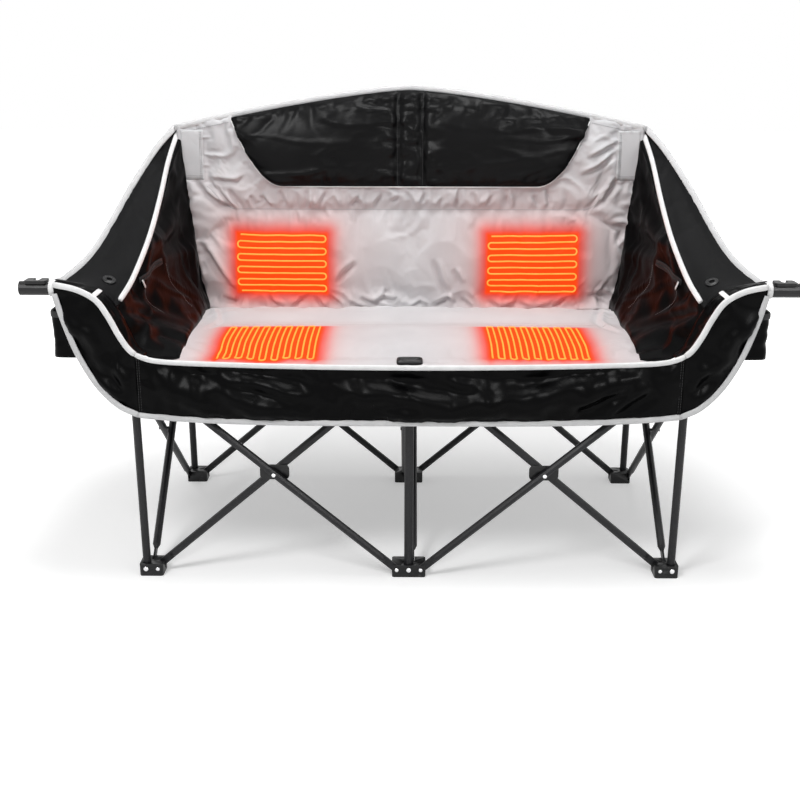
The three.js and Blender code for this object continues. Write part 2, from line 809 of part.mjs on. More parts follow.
// The power button lies on the front middle of the seat
function addButton() {
  const y0 = seatFrontY + buttonSetback;
  const at = (u, v) => [lerp(-buttonLength / 2, buttonLength / 2, u), lerp(y0, y0 + buttonWidth, v)];
  const lifted = (lift) => (u, v) => [...at(u, v), seatTop(...at(u, v)) + lift];
  const body = gridBody(4, 4, lifted(buttonGap + buttonThickness), lifted(buttonGap));
  place(model, "power_button", body, "plastic");
}

// Apron: a hanging front skirt in three panels, with slack folds that grow towards the hem
const armRise = armTipHeight - apronTopHeight;
const armRun = armTipX - apronSeamX;
const armTopShares = [
  [0, 0],
  [0.06, 0.18],
  [0.2, 0.4],
  [0.32, 0.64],
  [0.47, 0.86],
  [0.72, 0.97],
  [1, 1],
];
const armHemShares = [
  [0, -0.68],
  [0.27, -0.56],
  [0.53, -0.29],
  [0.76, 0.11],
  [0.91, 0.54],
  [1, 0.88],
];

function edgeCurve(shares, reachStart, reachEnd) {
  const points = shares.map(
    ([run, rise]) =>
      new THREE.Vector3(
        apronSeamX + run * armRun,
        frontRowY - lerp(reachStart, reachEnd, run),
        apronTopHeight + rise * armRise,
      ),
  );
  return new THREE.CatmullRomCurve3(points);
}

function apronSurface(u, v) {
  const x = lerp(-apronSeamX, apronSeamX, u) * (1 - clearance / apronSeamX);
  const hemEnd = apronTopHeight + armHemShares[0][1] * armRise;
  const sag = plateau(u);
  const z = lerp(apronTopHeight, lerp(hemEnd, apronHemHeight, sag), v);
  const room = apronReach - apronTopReach - fabricThickness / 2 - apronFold;
  const folds = apronFold * v * Math.sin(u * apronFoldWaves * Math.PI + v);
  return [x, frontRowY - apronTopReach - room * bulge(v * apronHemShare) - folds, z];
}

function armApronSurface(side) {
  const top = edgeCurve(armTopShares, apronTopReach, armTipReach);
  const hem = edgeCurve(armHemShares, apronTopReach, armTipReach);
  return (u, v) => {
    const a = top.getPoint(u);
    const b = hem.getPoint(u);
    const p = a.lerp(b, v);
    const fold = (apronFold / 2) * bulge(v) * Math.sin(u * armFoldWaves * Math.PI);
    return [side * p.x, p.y - fold, p.z];
  };
}

function addAprons() {
  place(model, "apron_centre", fabricSheet(apronColumns, apronRows, apronSurface, fabricThickness), "nylon");
  for (const side of [-1, 1]) {
    const name = side < 0 ? "left" : "right";
    const body = fabricSheet(armApronColumns, apronRows, armApronSurface(side), fabricThickness);
    place(model, `apron_arm_${name}`, body, "nylon");
  }
}

// Wing arms: a flat dark panel from the back post to the arm tip, above the inner side panel
function wingInnerEdge(t) {
  const y = lerp(rearRowY - wingRearInset, frontRowY, t);
  const sag = wingInnerSag * bulge(t);
  const x = lerp(wingRearX, wingInnerTipX, Math.pow(t, wingInnerFlare));
  return [x, y, lerp(backCornerHeight - wingRearDrop, wingInnerTipHeight, t) - sag];
}

function wingOuterEdge(t) {
  const y = lerp(rearRowY - wingRearInset, frontRowY, t);
  const sag = wingOuterSag * bulge(t);
  const x = lerp(wingRearX + wingRearWidth, armTipX, Math.pow(t, wingOuterFlare));
  return [x, y, lerp(backCornerHeight, armTipHeight, t) - sag];
}

function addWings() {
  const stop = (rowDepth - wingFrontY) / rowDepth;
  for (const side of [-1, 1]) {
    const name = side < 0 ? "left" : "right";
    const surface = (u, v) => {
      const a = new THREE.Vector3(...wingInnerEdge(u * stop));
      const b = new THREE.Vector3(...wingOuterEdge(u * stop));
      const p = a.lerp(b, v);
      return [side * p.x, p.y, p.z];
    };
    place(model, `arm_wing_${name}`, fabricSheet(wingColumns, wingRows, surface, fabricThickness), "nylon");
    addSidePanel(name, side);
    addPouch(name, side);
  }
}

// Inner side panel: hangs from the wing's inner edge to the side of the seat, with slack folds
function addSidePanel(name, side) {
  const bottomZ = seatUnderside + seatEdgeThickness;
  const surface = (u, v) => {
    const [topX, y, topZ] = wingInnerEdge(u);
    const share = Math.pow(v, sideCurve);
    const phase = sideWrinkleWaves * Math.PI * u + sideWrinkleSlant * v;
    const fold = sideWrinkle * bulge(v) * Math.sin(phase) * bulge(u);
    const x = lerp(topX - sideSeamOffset, sideBottomX, share) + fold;
    return [side * x, y, lerp(topZ, bottomZ, v)];
  };
  place(model, `side_panel_${name}`, fabricSheet(sideColumns, sideRows, surface, fabricThickness), "nylon");
}

// Open-topped pouch that hangs under the front of each wing
function addPouch(name, side) {
  const outer = [pouchInnerX, pouchOuterX, pouchFrontY, pouchRearY];
  const wall = fabricThickness;
  const inner = [pouchInnerX + wall, pouchOuterX - wall, pouchFrontY + wall, pouchRearY - wall];
  const height = pouchTopHeight - pouchBottomHeight;
  const shell = extrude(roundedOutline(...outer, pouchCorner), height, 4);
  const hollow = extrude(roundedOutline(...inner, pouchCorner - wall), height, 4).translate(0, 0, wall);
  const geometry = carve(shell, [], [hollow]);
  if (side < 0) geometry.rotateZ(Math.PI).translate(0, pouchFrontY + pouchRearY, 0);
  geometry.translate(0, frontRowY, pouchBottomHeight);
  place(model, `bottle_pouch_${name}`, geometry, "nylon");
}

addLegs();
addScissors();
addArms();
addSeat();
addBack();
addHeaters();
addButton();
addAprons();
addWings();

export default model;
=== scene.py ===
import json
import math

import bmesh
import bpy
import numpy as np
from mathutils import Matrix, Vector, noise
from mathutils.bvhtree import BVHTree

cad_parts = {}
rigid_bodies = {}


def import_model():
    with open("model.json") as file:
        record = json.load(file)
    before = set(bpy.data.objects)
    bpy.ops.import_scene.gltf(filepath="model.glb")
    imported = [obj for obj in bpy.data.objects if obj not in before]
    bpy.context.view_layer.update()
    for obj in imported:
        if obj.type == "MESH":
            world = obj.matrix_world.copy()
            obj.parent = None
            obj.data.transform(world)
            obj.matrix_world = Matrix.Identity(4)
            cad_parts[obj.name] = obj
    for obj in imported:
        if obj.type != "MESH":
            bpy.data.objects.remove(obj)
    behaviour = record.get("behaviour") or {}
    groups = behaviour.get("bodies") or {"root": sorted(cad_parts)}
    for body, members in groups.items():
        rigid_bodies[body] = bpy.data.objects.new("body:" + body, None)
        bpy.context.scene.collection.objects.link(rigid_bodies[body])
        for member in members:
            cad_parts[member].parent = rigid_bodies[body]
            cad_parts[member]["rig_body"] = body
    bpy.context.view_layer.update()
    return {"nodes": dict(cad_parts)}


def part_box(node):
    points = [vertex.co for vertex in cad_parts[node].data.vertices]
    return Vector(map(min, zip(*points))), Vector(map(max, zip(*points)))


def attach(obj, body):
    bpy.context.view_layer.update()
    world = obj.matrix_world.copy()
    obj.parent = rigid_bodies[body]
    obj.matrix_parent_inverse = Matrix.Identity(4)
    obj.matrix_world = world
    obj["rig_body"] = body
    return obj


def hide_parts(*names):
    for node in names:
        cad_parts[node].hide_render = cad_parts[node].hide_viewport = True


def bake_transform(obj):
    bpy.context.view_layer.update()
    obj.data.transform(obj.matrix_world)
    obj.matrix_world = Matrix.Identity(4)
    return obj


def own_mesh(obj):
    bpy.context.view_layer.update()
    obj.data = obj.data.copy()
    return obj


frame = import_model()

# Folding camping loveseat: sewn fabric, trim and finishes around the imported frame.
# Metres, in the frame's own axes: +X right, +Y towards the back of the seat, +Z up.
SIDES = {"left": -1, "right": 1}

# Places of the frame that the fabric hangs on
FRONT_ROW = -0.2505
REAR_ROW = 0.2695
COLUMNS = {"left": -0.530, "centre": 0.0, "right": 0.530}
FOOT_PIVOT = 0.016
PIVOT_OFFSET = 0.024
BLOCK_BACK = 0.0135
RIVET_HEAD = 0.0012
RIVET_FLATNESS = 0.42
RIVET_RADIUS = {"middle": 0.0050, "pivot": 0.0040, "crossing": 0.0042}
CROSSING_HEIGHT = 0.222
CROSSING_REACH = 0.0178
ARM_TIP = (0.672, 0.589)

# Seat
SEAT_HALF = 0.500
SEAT_UNDERSIDE = 0.4403
SEAT_EDGE = 0.005
SEAT_CROWN = 0.013
SEAT_FRONT = FRONT_ROW - 0.027
SEAT_REAR = REAR_ROW - 0.065
# The seat folds down along a shallow channel, which leaves room for its halves to hang face to face
SEAT_MIDDLE = (FRONT_ROW + REAR_ROW) / 2
SEAT_CHANNEL = 0.012
SEAT_CHANNEL_WIDTH = 0.042

# Back
BACK_BOTTOM = 0.450
BACK_CENTRE = 0.937
BACK_CORNER = 0.850
BACK_HALF_BOTTOM = 0.492
BACK_HALF_TOP = 0.528
BACK_SEAM = 0.670
HEADREST_BOTTOM = 0.721
HEADREST_HALF_TOP = 0.398
HEADREST_HALF_BOTTOM = 0.285
POLE_CHANNEL = 0.028
# The rear face of the back leans: how far it stands in front of the posts' row at the bottom and at their top
BACK_REAR_LOW = 0.044
BACK_REAR_HIGH = 0.0083
POST_TOP = 0.922

# Aprons
APRON_SEAM = 0.515
APRON_TOP = 0.448
APRON_HEM = 0.334
APRON_TOP_REACH = 0.031
ARM_TIP_REACH = 0.0153
# The arms' sleeves end here, beside the seat's front corners, so that nothing of them stands above the seat
SLEEVE_END = 0.501

# The arm's edges, as (across, up): piping on top, webbing along the hem
ARM_TOP = [
    (0.420, 0.4527), (0.470, 0.4560), (0.498, 0.4618), (0.5235, 0.4760), (0.5436, 0.5053), (0.5612, 0.5405),
    (0.5827, 0.5715), (0.6185, 0.5905), (0.6620, 0.5990),
]
ARM_HEM = [
    (0.515, 0.3487), (0.5534, 0.3662), (0.5924, 0.4054), (0.6252, 0.4638), (0.6475, 0.5272), (0.6610, 0.5800),
]
SLEEVE_TOP = [
    (0.430, 0.4490), (0.486, 0.4545), (0.516, 0.4704), (0.529, 0.4941), (0.543, 0.5293), (0.561, 0.5600),
    (0.578, 0.5776), (0.609, 0.5925), (0.640, 0.5990), (0.668, 0.6040),
]

# The wing's front edge, tucked under the sleeve, as (across, along, up)
WING_FRONT = [
    (0.5498, -0.2305, 0.5600), (0.5570, -0.2400, 0.5510), (0.5690, -0.2420, 0.5650), (0.5860, -0.2420, 0.5790),
    (0.6090, -0.2420, 0.5890), (0.6400, -0.2440, 0.5950), (0.6640, -0.2465, 0.5985),
]

# The wing's edges from the back's top corner to the arm, as (way along, across, up)
WING_INNER = [
    (0, 0.5237, 0.8326), (0.165, 0.5300, 0.7791), (0.383, 0.5300, 0.7110), (0.615, 0.5320, 0.6457),
    (0.857, 0.5401, 0.5879), (1, 0.5498, 0.5600),
]
WING_OUTER = [
    (0, 0.5250, 0.8470), (0.144, 0.5541, 0.8063), (0.358, 0.5854, 0.7397), (0.716, 0.6224, 0.6369),
    (0.921, 0.6539, 0.5990), (1, 0.6640, 0.5985),
]
FABRIC = 0.0024


def lerp(a, b, t):
    return a + (b - a) * t


def bulge(t):
    return 4 * t * (1 - t)


def plateau(t):
    return 1 - abs(2 * t - 1) ** 4


def dip(x, at, width):
    return math.exp(-(((x - at) / width) ** 2))


def smooth(t):
    t = min(1, max(0, t))
    return t * t * (3 - 2 * t)


# ---- Finishes ----


def feed(tree, value, socket):
    """Sets a socket to a number or a colour, or links the socket that feeds it."""
    if isinstance(value, (int, float)):
        socket.default_value = value
    elif isinstance(value, tuple):
        socket.default_value = (*value, 1)
    else:
        tree.links.new(value, socket)


def new_group(name, inputs, outputs):
    tree = bpy.data.node_groups.new(name, "ShaderNodeTree")
    for label, value in inputs:
        socket = tree.interface.new_socket(label, in_out="INPUT", socket_type="NodeSocketFloat")
        socket.default_value = value
    for label in outputs:
        tree.interface.new_socket(label, in_out="OUTPUT", socket_type="NodeSocketFloat")
    return tree, tree.nodes.new("NodeGroupInput"), tree.nodes.new("NodeGroupOutput")


def calc(tree, operation, *values, clamp=False):
    """One Math node: each value is a number or the socket that feeds it."""
    made = tree.nodes.new("ShaderNodeMath")
    made.operation = operation
    made.use_clamp = clamp
    for socket, value in zip(made.inputs, values):
        feed(tree, value, socket)
    return made.outputs[0]


def object_place(tree):
    """A point in the frame's own metres."""
    return tree.nodes.new("ShaderNodeTexCoord").outputs["Object"]


def object_axes(tree):
    """The same point and its X, Y and Z."""
    place = object_place(tree)
    parts = tree.nodes.new("ShaderNodeSeparateXYZ")
    tree.links.new(place, parts.inputs[0])
    return place, parts.outputs[0], parts.outputs[1], parts.outputs[2]


def noise_at(tree, place, scale, detail, roughness=0.5):
    made = tree.nodes.new("ShaderNodeTexNoise")
    tree.links.new(place, made.inputs["Vector"])
    made.inputs["Detail"].default_value = detail
    made.inputs["Roughness"].default_value = roughness
    feed(tree, scale, made.inputs["Scale"])
    return made.outputs[0]


def weave_group():
    """Plain weave: threads across X and along the other two axes."""
    tree, given, result = new_group("oxford_weave", [("Threads", 5200.0)], ["Height", "Tone"])
    place, x, y, z = object_axes(tree)
    threads = given.outputs["Threads"]
    across = calc(tree, "SINE", calc(tree, "MULTIPLY", x, threads))
    along = calc(tree, "SINE", calc(tree, "MULTIPLY", calc(tree, "ADD", y, z), threads))
    height = calc(tree, "MULTIPLY", across, along)
    slub = noise_at(tree, place, 420.0, 2.0)
    tree.links.new(calc(tree, "ADD", calc(tree, "MULTIPLY", height, 0.5), slub), result.inputs["Height"])
    tree.links.new(calc(tree, "MULTIPLY_ADD", height, 0.5, 0.5), result.inputs["Tone"])
    return tree


def crumple_group():
    """Soft creases of worn cloth: ridges where two broad noises are equal."""
    tree, given, result = new_group("soft_creases", [("Scale", 14.0), ("Sharpness", 6.0)], ["Height", "Tone"])
    broad = noise_at(tree, object_place(tree), given.outputs["Scale"], 2.0, 0.45)
    ridge = calc(tree, "ABSOLUTE", calc(tree, "SUBTRACT", broad, 0.5))
    ridge = calc(tree, "MULTIPLY", ridge, given.outputs["Sharpness"], clamp=True)
    tree.links.new(ridge, result.inputs["Height"])
    tree.links.new(broad, result.inputs["Tone"])
    return tree


def hammered_group():
    """Hammered powder coat: small round dimples with broken edges."""
    tree, given, result = new_group("hammered_coat", [("Scale", 520.0)], ["Height", "Tone"])
    place = object_place(tree)
    cells = tree.nodes.new("ShaderNodeTexVoronoi")
    cells.feature = "SMOOTH_F1"
    tree.links.new(place, cells.inputs["Vector"])
    tree.links.new(given.outputs["Scale"], cells.inputs["Scale"])
    fine = noise_at(tree, place, 1400.0, 2.0)
    height = calc(tree, "ADD", cells.outputs["Distance"], calc(tree, "MULTIPLY", fine, 0.4))
    tree.links.new(height, result.inputs["Height"])
    tree.links.new(noise_at(tree, place, 300.0, 3.0), result.inputs["Tone"])
    return tree


def dust_group():
    """Handling marks: pale scuffs in patches, more of them near the floor."""
    tree, given, result = new_group("handling_marks", [("Amount", 0.3), ("Scale", 60.0)], ["Mask"])
    place, _, _, z = object_axes(tree)
    patches = noise_at(tree, place, given.outputs["Scale"], 5.0, 0.6)
    marks = calc(tree, "MULTIPLY", calc(tree, "SUBTRACT", patches, 0.55), 5.0, clamp=True)
    low = calc(tree, "SUBTRACT", 1.0, calc(tree, "MULTIPLY", z, 12.0), clamp=True)
    share = calc(tree, "MULTIPLY_ADD", low, 0.7, 0.3)
    marked = calc(tree, "MULTIPLY", calc(tree, "MULTIPLY", marks, share), given.outputs["Amount"])
    tree.links.new(marked, result.inputs["Mask"])
    return tree


def painted_glow_group():
    """Masks of the glow painted around a heated rectangle: 1 inside Core, a halo that fades outside it, and a wider
    painted red spill.
    """
    inputs = [("Across", 0.0), ("Along", 0.0), ("Middle Across", 0.0), ("Middle Along", 0.0)]
    inputs += [("Half Width", 0.1), ("Half Height", 0.065), ("Halo", 0.02)]
    tree, given, result = new_group("heated_zone_painted_glow", inputs, ["Core", "Glow", "Painted_Red_Spill"])
    side = given.outputs
    across = calc(tree, "ABSOLUTE", calc(tree, "SUBTRACT", side["Across"], side["Middle Across"]))
    along = calc(tree, "ABSOLUTE", calc(tree, "SUBTRACT", side["Along"], side["Middle Along"]))
    dx = calc(tree, "SUBTRACT", across, side["Half Width"])
    dy = calc(tree, "SUBTRACT", along, side["Half Height"])
    ox, oy = calc(tree, "MAXIMUM", dx, 0.0), calc(tree, "MAXIMUM", dy, 0.0)
    outside = calc(tree, "SQRT", calc(tree, "ADD", calc(tree, "MULTIPLY", ox, ox), calc(tree, "MULTIPLY", oy, oy)))
    edge = calc(tree, "DIVIDE", outside, calc(tree, "MULTIPLY", side["Halo"], 0.35))
    core = calc(tree, "SUBTRACT", 1.0, edge, clamp=True)
    near = calc(tree, "DIVIDE", outside, side["Halo"])
    glow = calc(tree, "EXPONENT", calc(tree, "MULTIPLY", calc(tree, "MULTIPLY", near, near), -0.9))
    painted_red_spill = calc(tree, "EXPONENT", calc(tree, "MULTIPLY", near, -0.42))
    for label, value in (("Core", core), ("Glow", glow), ("Painted_Red_Spill", painted_red_spill)):
        tree.links.new(value, result.inputs[label])
    return tree


GROUPS = {
    "weave": weave_group(),
    "creases": crumple_group(),
    "hammered": hammered_group(),
    "marks": dust_group(),
    "zone_glow": painted_glow_group(),
}


def use(tree, group, **values):
    made = tree.nodes.new("ShaderNodeGroup")
    made.node_tree = GROUPS[group]
    for label, value in values.items():
        feed(tree, value, made.inputs[label.replace("_", " ")])
    return made.outputs


def mixed(tree, share, a, b):
    """Colour a turned into colour b by share; each is a colour or the socket that feeds it."""
    made = tree.nodes.new("ShaderNodeMix")
    made.data_type = "RGBA"
    made.clamp_factor = True
    for socket, value in ((0, share), (6, a), (7, b)):
        feed(tree, value, made.inputs[socket])
    return made.outputs[2]


def ranged(tree, value, low, high):
    return calc(tree, "MULTIPLY_ADD", value, high - low, low)


def finish(name, roughness=0.5, metallic=0.0, specular=0.5):
    material = bpy.data.materials.new(name)
    material.use_nodes = True
    tree = material.node_tree
    shader = tree.nodes["Principled BSDF"]
    shader.inputs["Roughness"].default_value = roughness
    shader.inputs["Metallic"].default_value = metallic
    shader.inputs["Specular IOR Level"].default_value = specular
    return material, tree, shader


def bumped(tree, shader, layers):
    """Bump nodes in a chain: each layer is (height, strength, distance in metres)."""
    previous = None
    for height, strength, distance in layers:
        bump = tree.nodes.new("ShaderNodeBump")
        bump.inputs["Strength"].default_value = strength
        bump.inputs["Distance"].default_value = distance
        tree.links.new(height, bump.inputs["Height"])
        if previous:
            tree.links.new(previous, bump.inputs["Normal"])
        previous = bump.outputs[0]
    tree.links.new(previous, shader.inputs["Normal"])


def cloth_finish(
    name, dark, light, roughness, threads, crease_scale, crease_depth, specular=0.5, thread_depth=0.0003
):
    """Woven cloth: thread tone and soft creases between two colours, with both in the bump."""
    material, tree, shader = finish(name, specular=specular)
    weave = use(tree, "weave", Threads=threads)
    creases = use(tree, "creases", Scale=crease_scale)
    tone = calc(tree, "MULTIPLY_ADD", weave["Tone"], 0.35, calc(tree, "MULTIPLY", creases["Tone"], 0.65))
    tree.links.new(mixed(tree, tone, dark, light), shader.inputs["Base Color"])
    tree.links.new(ranged(tree, creases["Tone"], roughness - 0.08, roughness + 0.08), shader.inputs["Roughness"])
    bumped(tree, shader, [(weave["Height"], 0.25, thread_depth), (creases["Height"], 0.6, crease_depth)])
    return material


def padded_grey(name, zones, along_axis):
    """Light grey padded polyester, with the red glow of that pad's heated zones painted into its colour and emission.
    """
    material, tree, shader = finish(name, specular=0.10)
    _, x, y, z = object_axes(tree)
    weave = use(tree, "weave", Threads=4200.0)
    creases = use(tree, "creases", Scale=11.0)
    tone = calc(tree, "MULTIPLY_ADD", weave["Tone"], 0.3, calc(tree, "MULTIPLY", creases["Tone"], 0.7))
    base = mixed(tree, tone, (0.50, 0.50, 0.515), (0.66, 0.66, 0.67))
    core, glow, painted_red_spill = 0.0, 0.0, 0.0
    for middle_x, middle_v, half_w, half_h in zones:
        zone_glow = use(
            tree, "zone_glow", Across=x, Along={"y": y, "z": z}[along_axis], Middle_Across=middle_x,
            Middle_Along=middle_v, Half_Width=half_w, Half_Height=half_h, Halo=HALO,
        )
        core = calc(tree, "ADD", core, zone_glow["Core"], clamp=True)
        glow = calc(tree, "ADD", glow, zone_glow["Glow"], clamp=True)
        painted_red_spill = calc(tree, "ADD", painted_red_spill, zone_glow["Painted_Red_Spill"], clamp=True)
    # Painted light: the red spill and halo around each heated zone are painted into the base colour, and the zone's
    # middle and halo glow by a painted emission, though no lamp is there.
    base_with_red_spill = mixed(tree, calc(tree, "MULTIPLY", painted_red_spill, 0.55), base, (0.76, 0.36, 0.32))
    red = mixed(tree, glow, base_with_red_spill, (0.52, 0.07, 0.05))
    tree.links.new(mixed(tree, core, red, (0.30, 0.02, 0.002)), shader.inputs["Base Color"])
    faint = mixed(tree, glow, (0.0, 0.0, 0.0), (0.32, 0.015, 0.01))
    tree.links.new(mixed(tree, core, faint, (0.80, 0.055, 0.003)), shader.inputs["Emission Color"])
    shader.inputs["Emission Strength"].default_value = 1.0
    tree.links.new(ranged(tree, creases["Tone"], 0.55, 0.75), shader.inputs["Roughness"])
    bumped(tree, shader, [(weave["Height"], 0.2, 0.0003), (creases["Height"], 0.25, 0.0020)])
    return material


def trim_finish(name, colour, roughness, ribs):
    """Woven binding tape with fine ribs."""
    material, tree, shader = finish(name, specular=0.35)
    place, x, y, z = object_axes(tree)
    run = calc(tree, "ADD", x, calc(tree, "ADD", y, z))
    rib = calc(tree, "SINE", calc(tree, "MULTIPLY", run, ribs))
    soil = noise_at(tree, place, 45.0, 4.0)
    pale = tuple(min(1.0, c * 1.12) for c in colour)
    dull = tuple(c * 0.82 for c in colour)
    tree.links.new(mixed(tree, soil, dull, pale), shader.inputs["Base Color"])
    tree.links.new(ranged(tree, soil, roughness - 0.1, roughness + 0.1), shader.inputs["Roughness"])
    bumped(tree, shader, [(rib, 0.35, 0.0004)])
    return material


def steel_finish():
    material, tree, shader = finish("hammered_black_steel", specular=0.26)
    coat = use(tree, "hammered", Scale=520.0)
    marks = use(tree, "marks", Amount=0.25, Scale=70.0)
    base = mixed(tree, coat["Tone"], (0.005, 0.005, 0.006), (0.022, 0.022, 0.024))
    tree.links.new(mixed(tree, marks["Mask"], base, (0.10, 0.10, 0.10)), shader.inputs["Base Color"])
    tree.links.new(ranged(tree, coat["Tone"], 0.28, 0.46), shader.inputs["Roughness"])
    bumped(tree, shader, [(coat["Height"], 0.55, 0.0006)])
    return material


def plastic_finish(name, dark, light, roughness):
    material, tree, shader = finish(name, specular=0.32)
    grain = noise_at(tree, object_place(tree), 900.0, 3.0)
    marks = use(tree, "marks", Amount=0.35, Scale=85.0)
    base = mixed(tree, grain, dark, light)
    tree.links.new(mixed(tree, marks["Mask"], base, (0.16, 0.16, 0.16)), shader.inputs["Base Color"])
    tree.links.new(ranged(tree, grain, roughness - 0.07, roughness + 0.09), shader.inputs["Roughness"])
    bumped(tree, shader, [(grain, 0.3, 0.0002)])
    return material


def zinc_finish():
    material, tree, shader = finish("zinc_rivet", metallic=1.0)
    grain = noise_at(tree, object_place(tree), 700.0, 3.0)
    tree.links.new(mixed(tree, grain, (0.62, 0.62, 0.63), (0.92, 0.92, 0.93)), shader.inputs["Base Color"])
    tree.links.new(ranged(tree, grain, 0.18, 0.36), shader.inputs["Roughness"])
    bumped(tree, shader, [(grain, 0.15, 0.0002)])
    return material


# Heating wire with a painted glow: an orange emission, though the wire is no lamp.
def wire_finish():
    material, tree, shader = finish("glowing_wire", roughness=0.6)
    flicker = noise_at(tree, object_place(tree), 60.0, 2.0)
    tree.links.new(mixed(tree, flicker, (0.28, 0.10, 0.01), (0.34, 0.15, 0.02)), shader.inputs["Base Color"])
    tree.links.new(mixed(tree, flicker, (0.95, 0.26, 0.02), (1.0, 0.38, 0.05)), shader.inputs["Emission Color"])
    shader.inputs["Emission Strength"].default_value = 1.0
    return material


# Heated zones as (middle across, middle along, half width, half height)
# How far the red glow painted around each heated zone reaches onto the cloth
HALO = 0.024
BACK_ZONES = [(-0.2895, 0.5515, 0.1005, 0.0655), (0.2775, 0.5515, 0.1005, 0.0655)]
SEAT_ZONES = [(-0.2775, FRONT_ROW + 0.106, 0.0965, 0.098), (0.2525, FRONT_ROW + 0.106, 0.0965, 0.098)]

STEEL = steel_finish()
PLASTIC = plastic_finish("moulded_black_nylon", (0.004, 0.004, 0.0045), (0.009, 0.009, 0.0095), roughness=0.36)
ZINC = zinc_finish()
BACK_GREY = padded_grey("grey_padded_back", BACK_ZONES, "z")
SEAT_GREY = padded_grey("grey_padded_seat", SEAT_ZONES, "y")
PATCH_GREY = cloth_finish(
    "grey_corner_patch", (0.50, 0.50, 0.51), (0.60, 0.60, 0.61),
    roughness=0.6, threads=4200.0, crease_scale=18.0, crease_depth=0.0006,
)
BLACK_NYLON = cloth_finish(
    "black_apron_nylon", (0.0006, 0.0006, 0.0007), (0.0018, 0.0018, 0.0020),
    roughness=0.29, threads=5200.0, crease_scale=9.0, crease_depth=0.0006,
    specular=0.05, thread_depth=0.00006,
)
GLOSS_NYLON = cloth_finish(
    "black_lining_nylon", (0.0010, 0.0010, 0.0012), (0.0026, 0.0026, 0.0028),
    roughness=0.34, threads=5200.0, crease_scale=8.0, crease_depth=0.0005,
    specular=0.045, thread_depth=0.00006,
)
WING_NYLON = cloth_finish(
    "charcoal_wing_nylon", (0.004, 0.004, 0.0044), (0.009, 0.009, 0.0094),
    roughness=0.50, threads=5200.0, crease_scale=6.0, crease_depth=0.0008,
    specular=0.06,
)
HEADREST_NYLON = cloth_finish(
    "black_headrest_nylon", (0.0016, 0.0016, 0.0018), (0.0046, 0.0046, 0.0050),
    roughness=0.31, threads=5200.0, crease_scale=9.0, crease_depth=0.0007,
    specular=0.09, thread_depth=0.0001,
)
BLACK_TAPE = trim_finish("black_webbing", (0.012, 0.012, 0.013), roughness=0.6, ribs=2600.0)
WHITE_PIPING = trim_finish("white_piping", (0.86, 0.86, 0.86), roughness=0.55, ribs=2600.0)
GREY_BINDING = trim_finish("pale_grey_binding", (0.66, 0.66, 0.665), roughness=0.6, ribs=2600.0)
THREAD_GREY = trim_finish("grey_thread", (0.30, 0.30, 0.31), roughness=0.7, ribs=6000.0)
THREAD_BLACK = trim_finish("black_thread", (0.030, 0.030, 0.031), roughness=0.7, ribs=6000.0)
WIRE = wire_finish()


# ---- Meshes ----


def mesh_object(name, points, faces, materials, face_slots=None, uvs=None):
    mesh = bpy.data.meshes.new(name)
    mesh.from_pydata([tuple(map(float, p)) for p in points], [], faces)
    for material in materials:
        mesh.materials.append(material)
    if face_slots is not None:
        mesh.polygons.foreach_set("material_index", np.array(face_slots, np.int32))
    mesh.polygons.foreach_set("use_smooth", [True] * len(mesh.polygons))
    if uvs is not None:
        layer = mesh.uv_layers.new(name="cut")
        loops = np.zeros(len(mesh.loops), np.int32)
        mesh.loops.foreach_get("vertex_index", loops)
        layer.data.foreach_set("uv", np.array(uvs, np.float32)[loops].ravel())
    mesh.update()
    made = bpy.data.objects.new(name, mesh)
    bpy.context.scene.collection.objects.link(made)
    return made


def plain(made):
    """The piece as a plain mesh, with what its modifiers do kept in it."""
    depsgraph = bpy.context.evaluated_depsgraph_get()
    mesh = bpy.data.meshes.new_from_object(made.evaluated_get(depsgraph))
    made.modifiers.clear()
    made.data = mesh
    mesh.polygons.foreach_set("use_smooth", [True] * len(mesh.polygons))
    return made


def bevelled(made, width):
    bevel = made.modifiers.new("round", "BEVEL")
    bevel.width = width
    bevel.segments = 2
    return bevel


def grid_points(count_u, count_v, surface):
    return np.array([[surface(i / count_u, j / count_v) for i in range(count_u + 1)] for j in range(count_v + 1)])


def grid_faces(rows, columns):
    return [
        (j * columns + i, j * columns + i + 1, (j + 1) * columns + i + 1, (j + 1) * columns + i)
        for j in range(rows - 1)
        for i in range(columns - 1)
    ]


def grid_normals(points):
    along_u = np.gradient(points, axis=1)
    along_v = np.gradient(points, axis=0)
    normals = np.cross(along_u, along_v)
    return normals / np.maximum(np.linalg.norm(normals, axis=2, keepdims=True), 1e-12)


def outward(made, even=True):
    """Turns a closed body's faces outwards; even makes them agree with each other first."""
    whole = bmesh.new()
    whole.from_mesh(made.data)
    if even:
        bmesh.ops.recalc_face_normals(whole, faces=whole.faces)
    if whole.calc_volume(signed=True) < 0:
        bmesh.ops.reverse_faces(whole, faces=whole.faces)
    whole.to_mesh(made.data)
    whole.free()
    return made


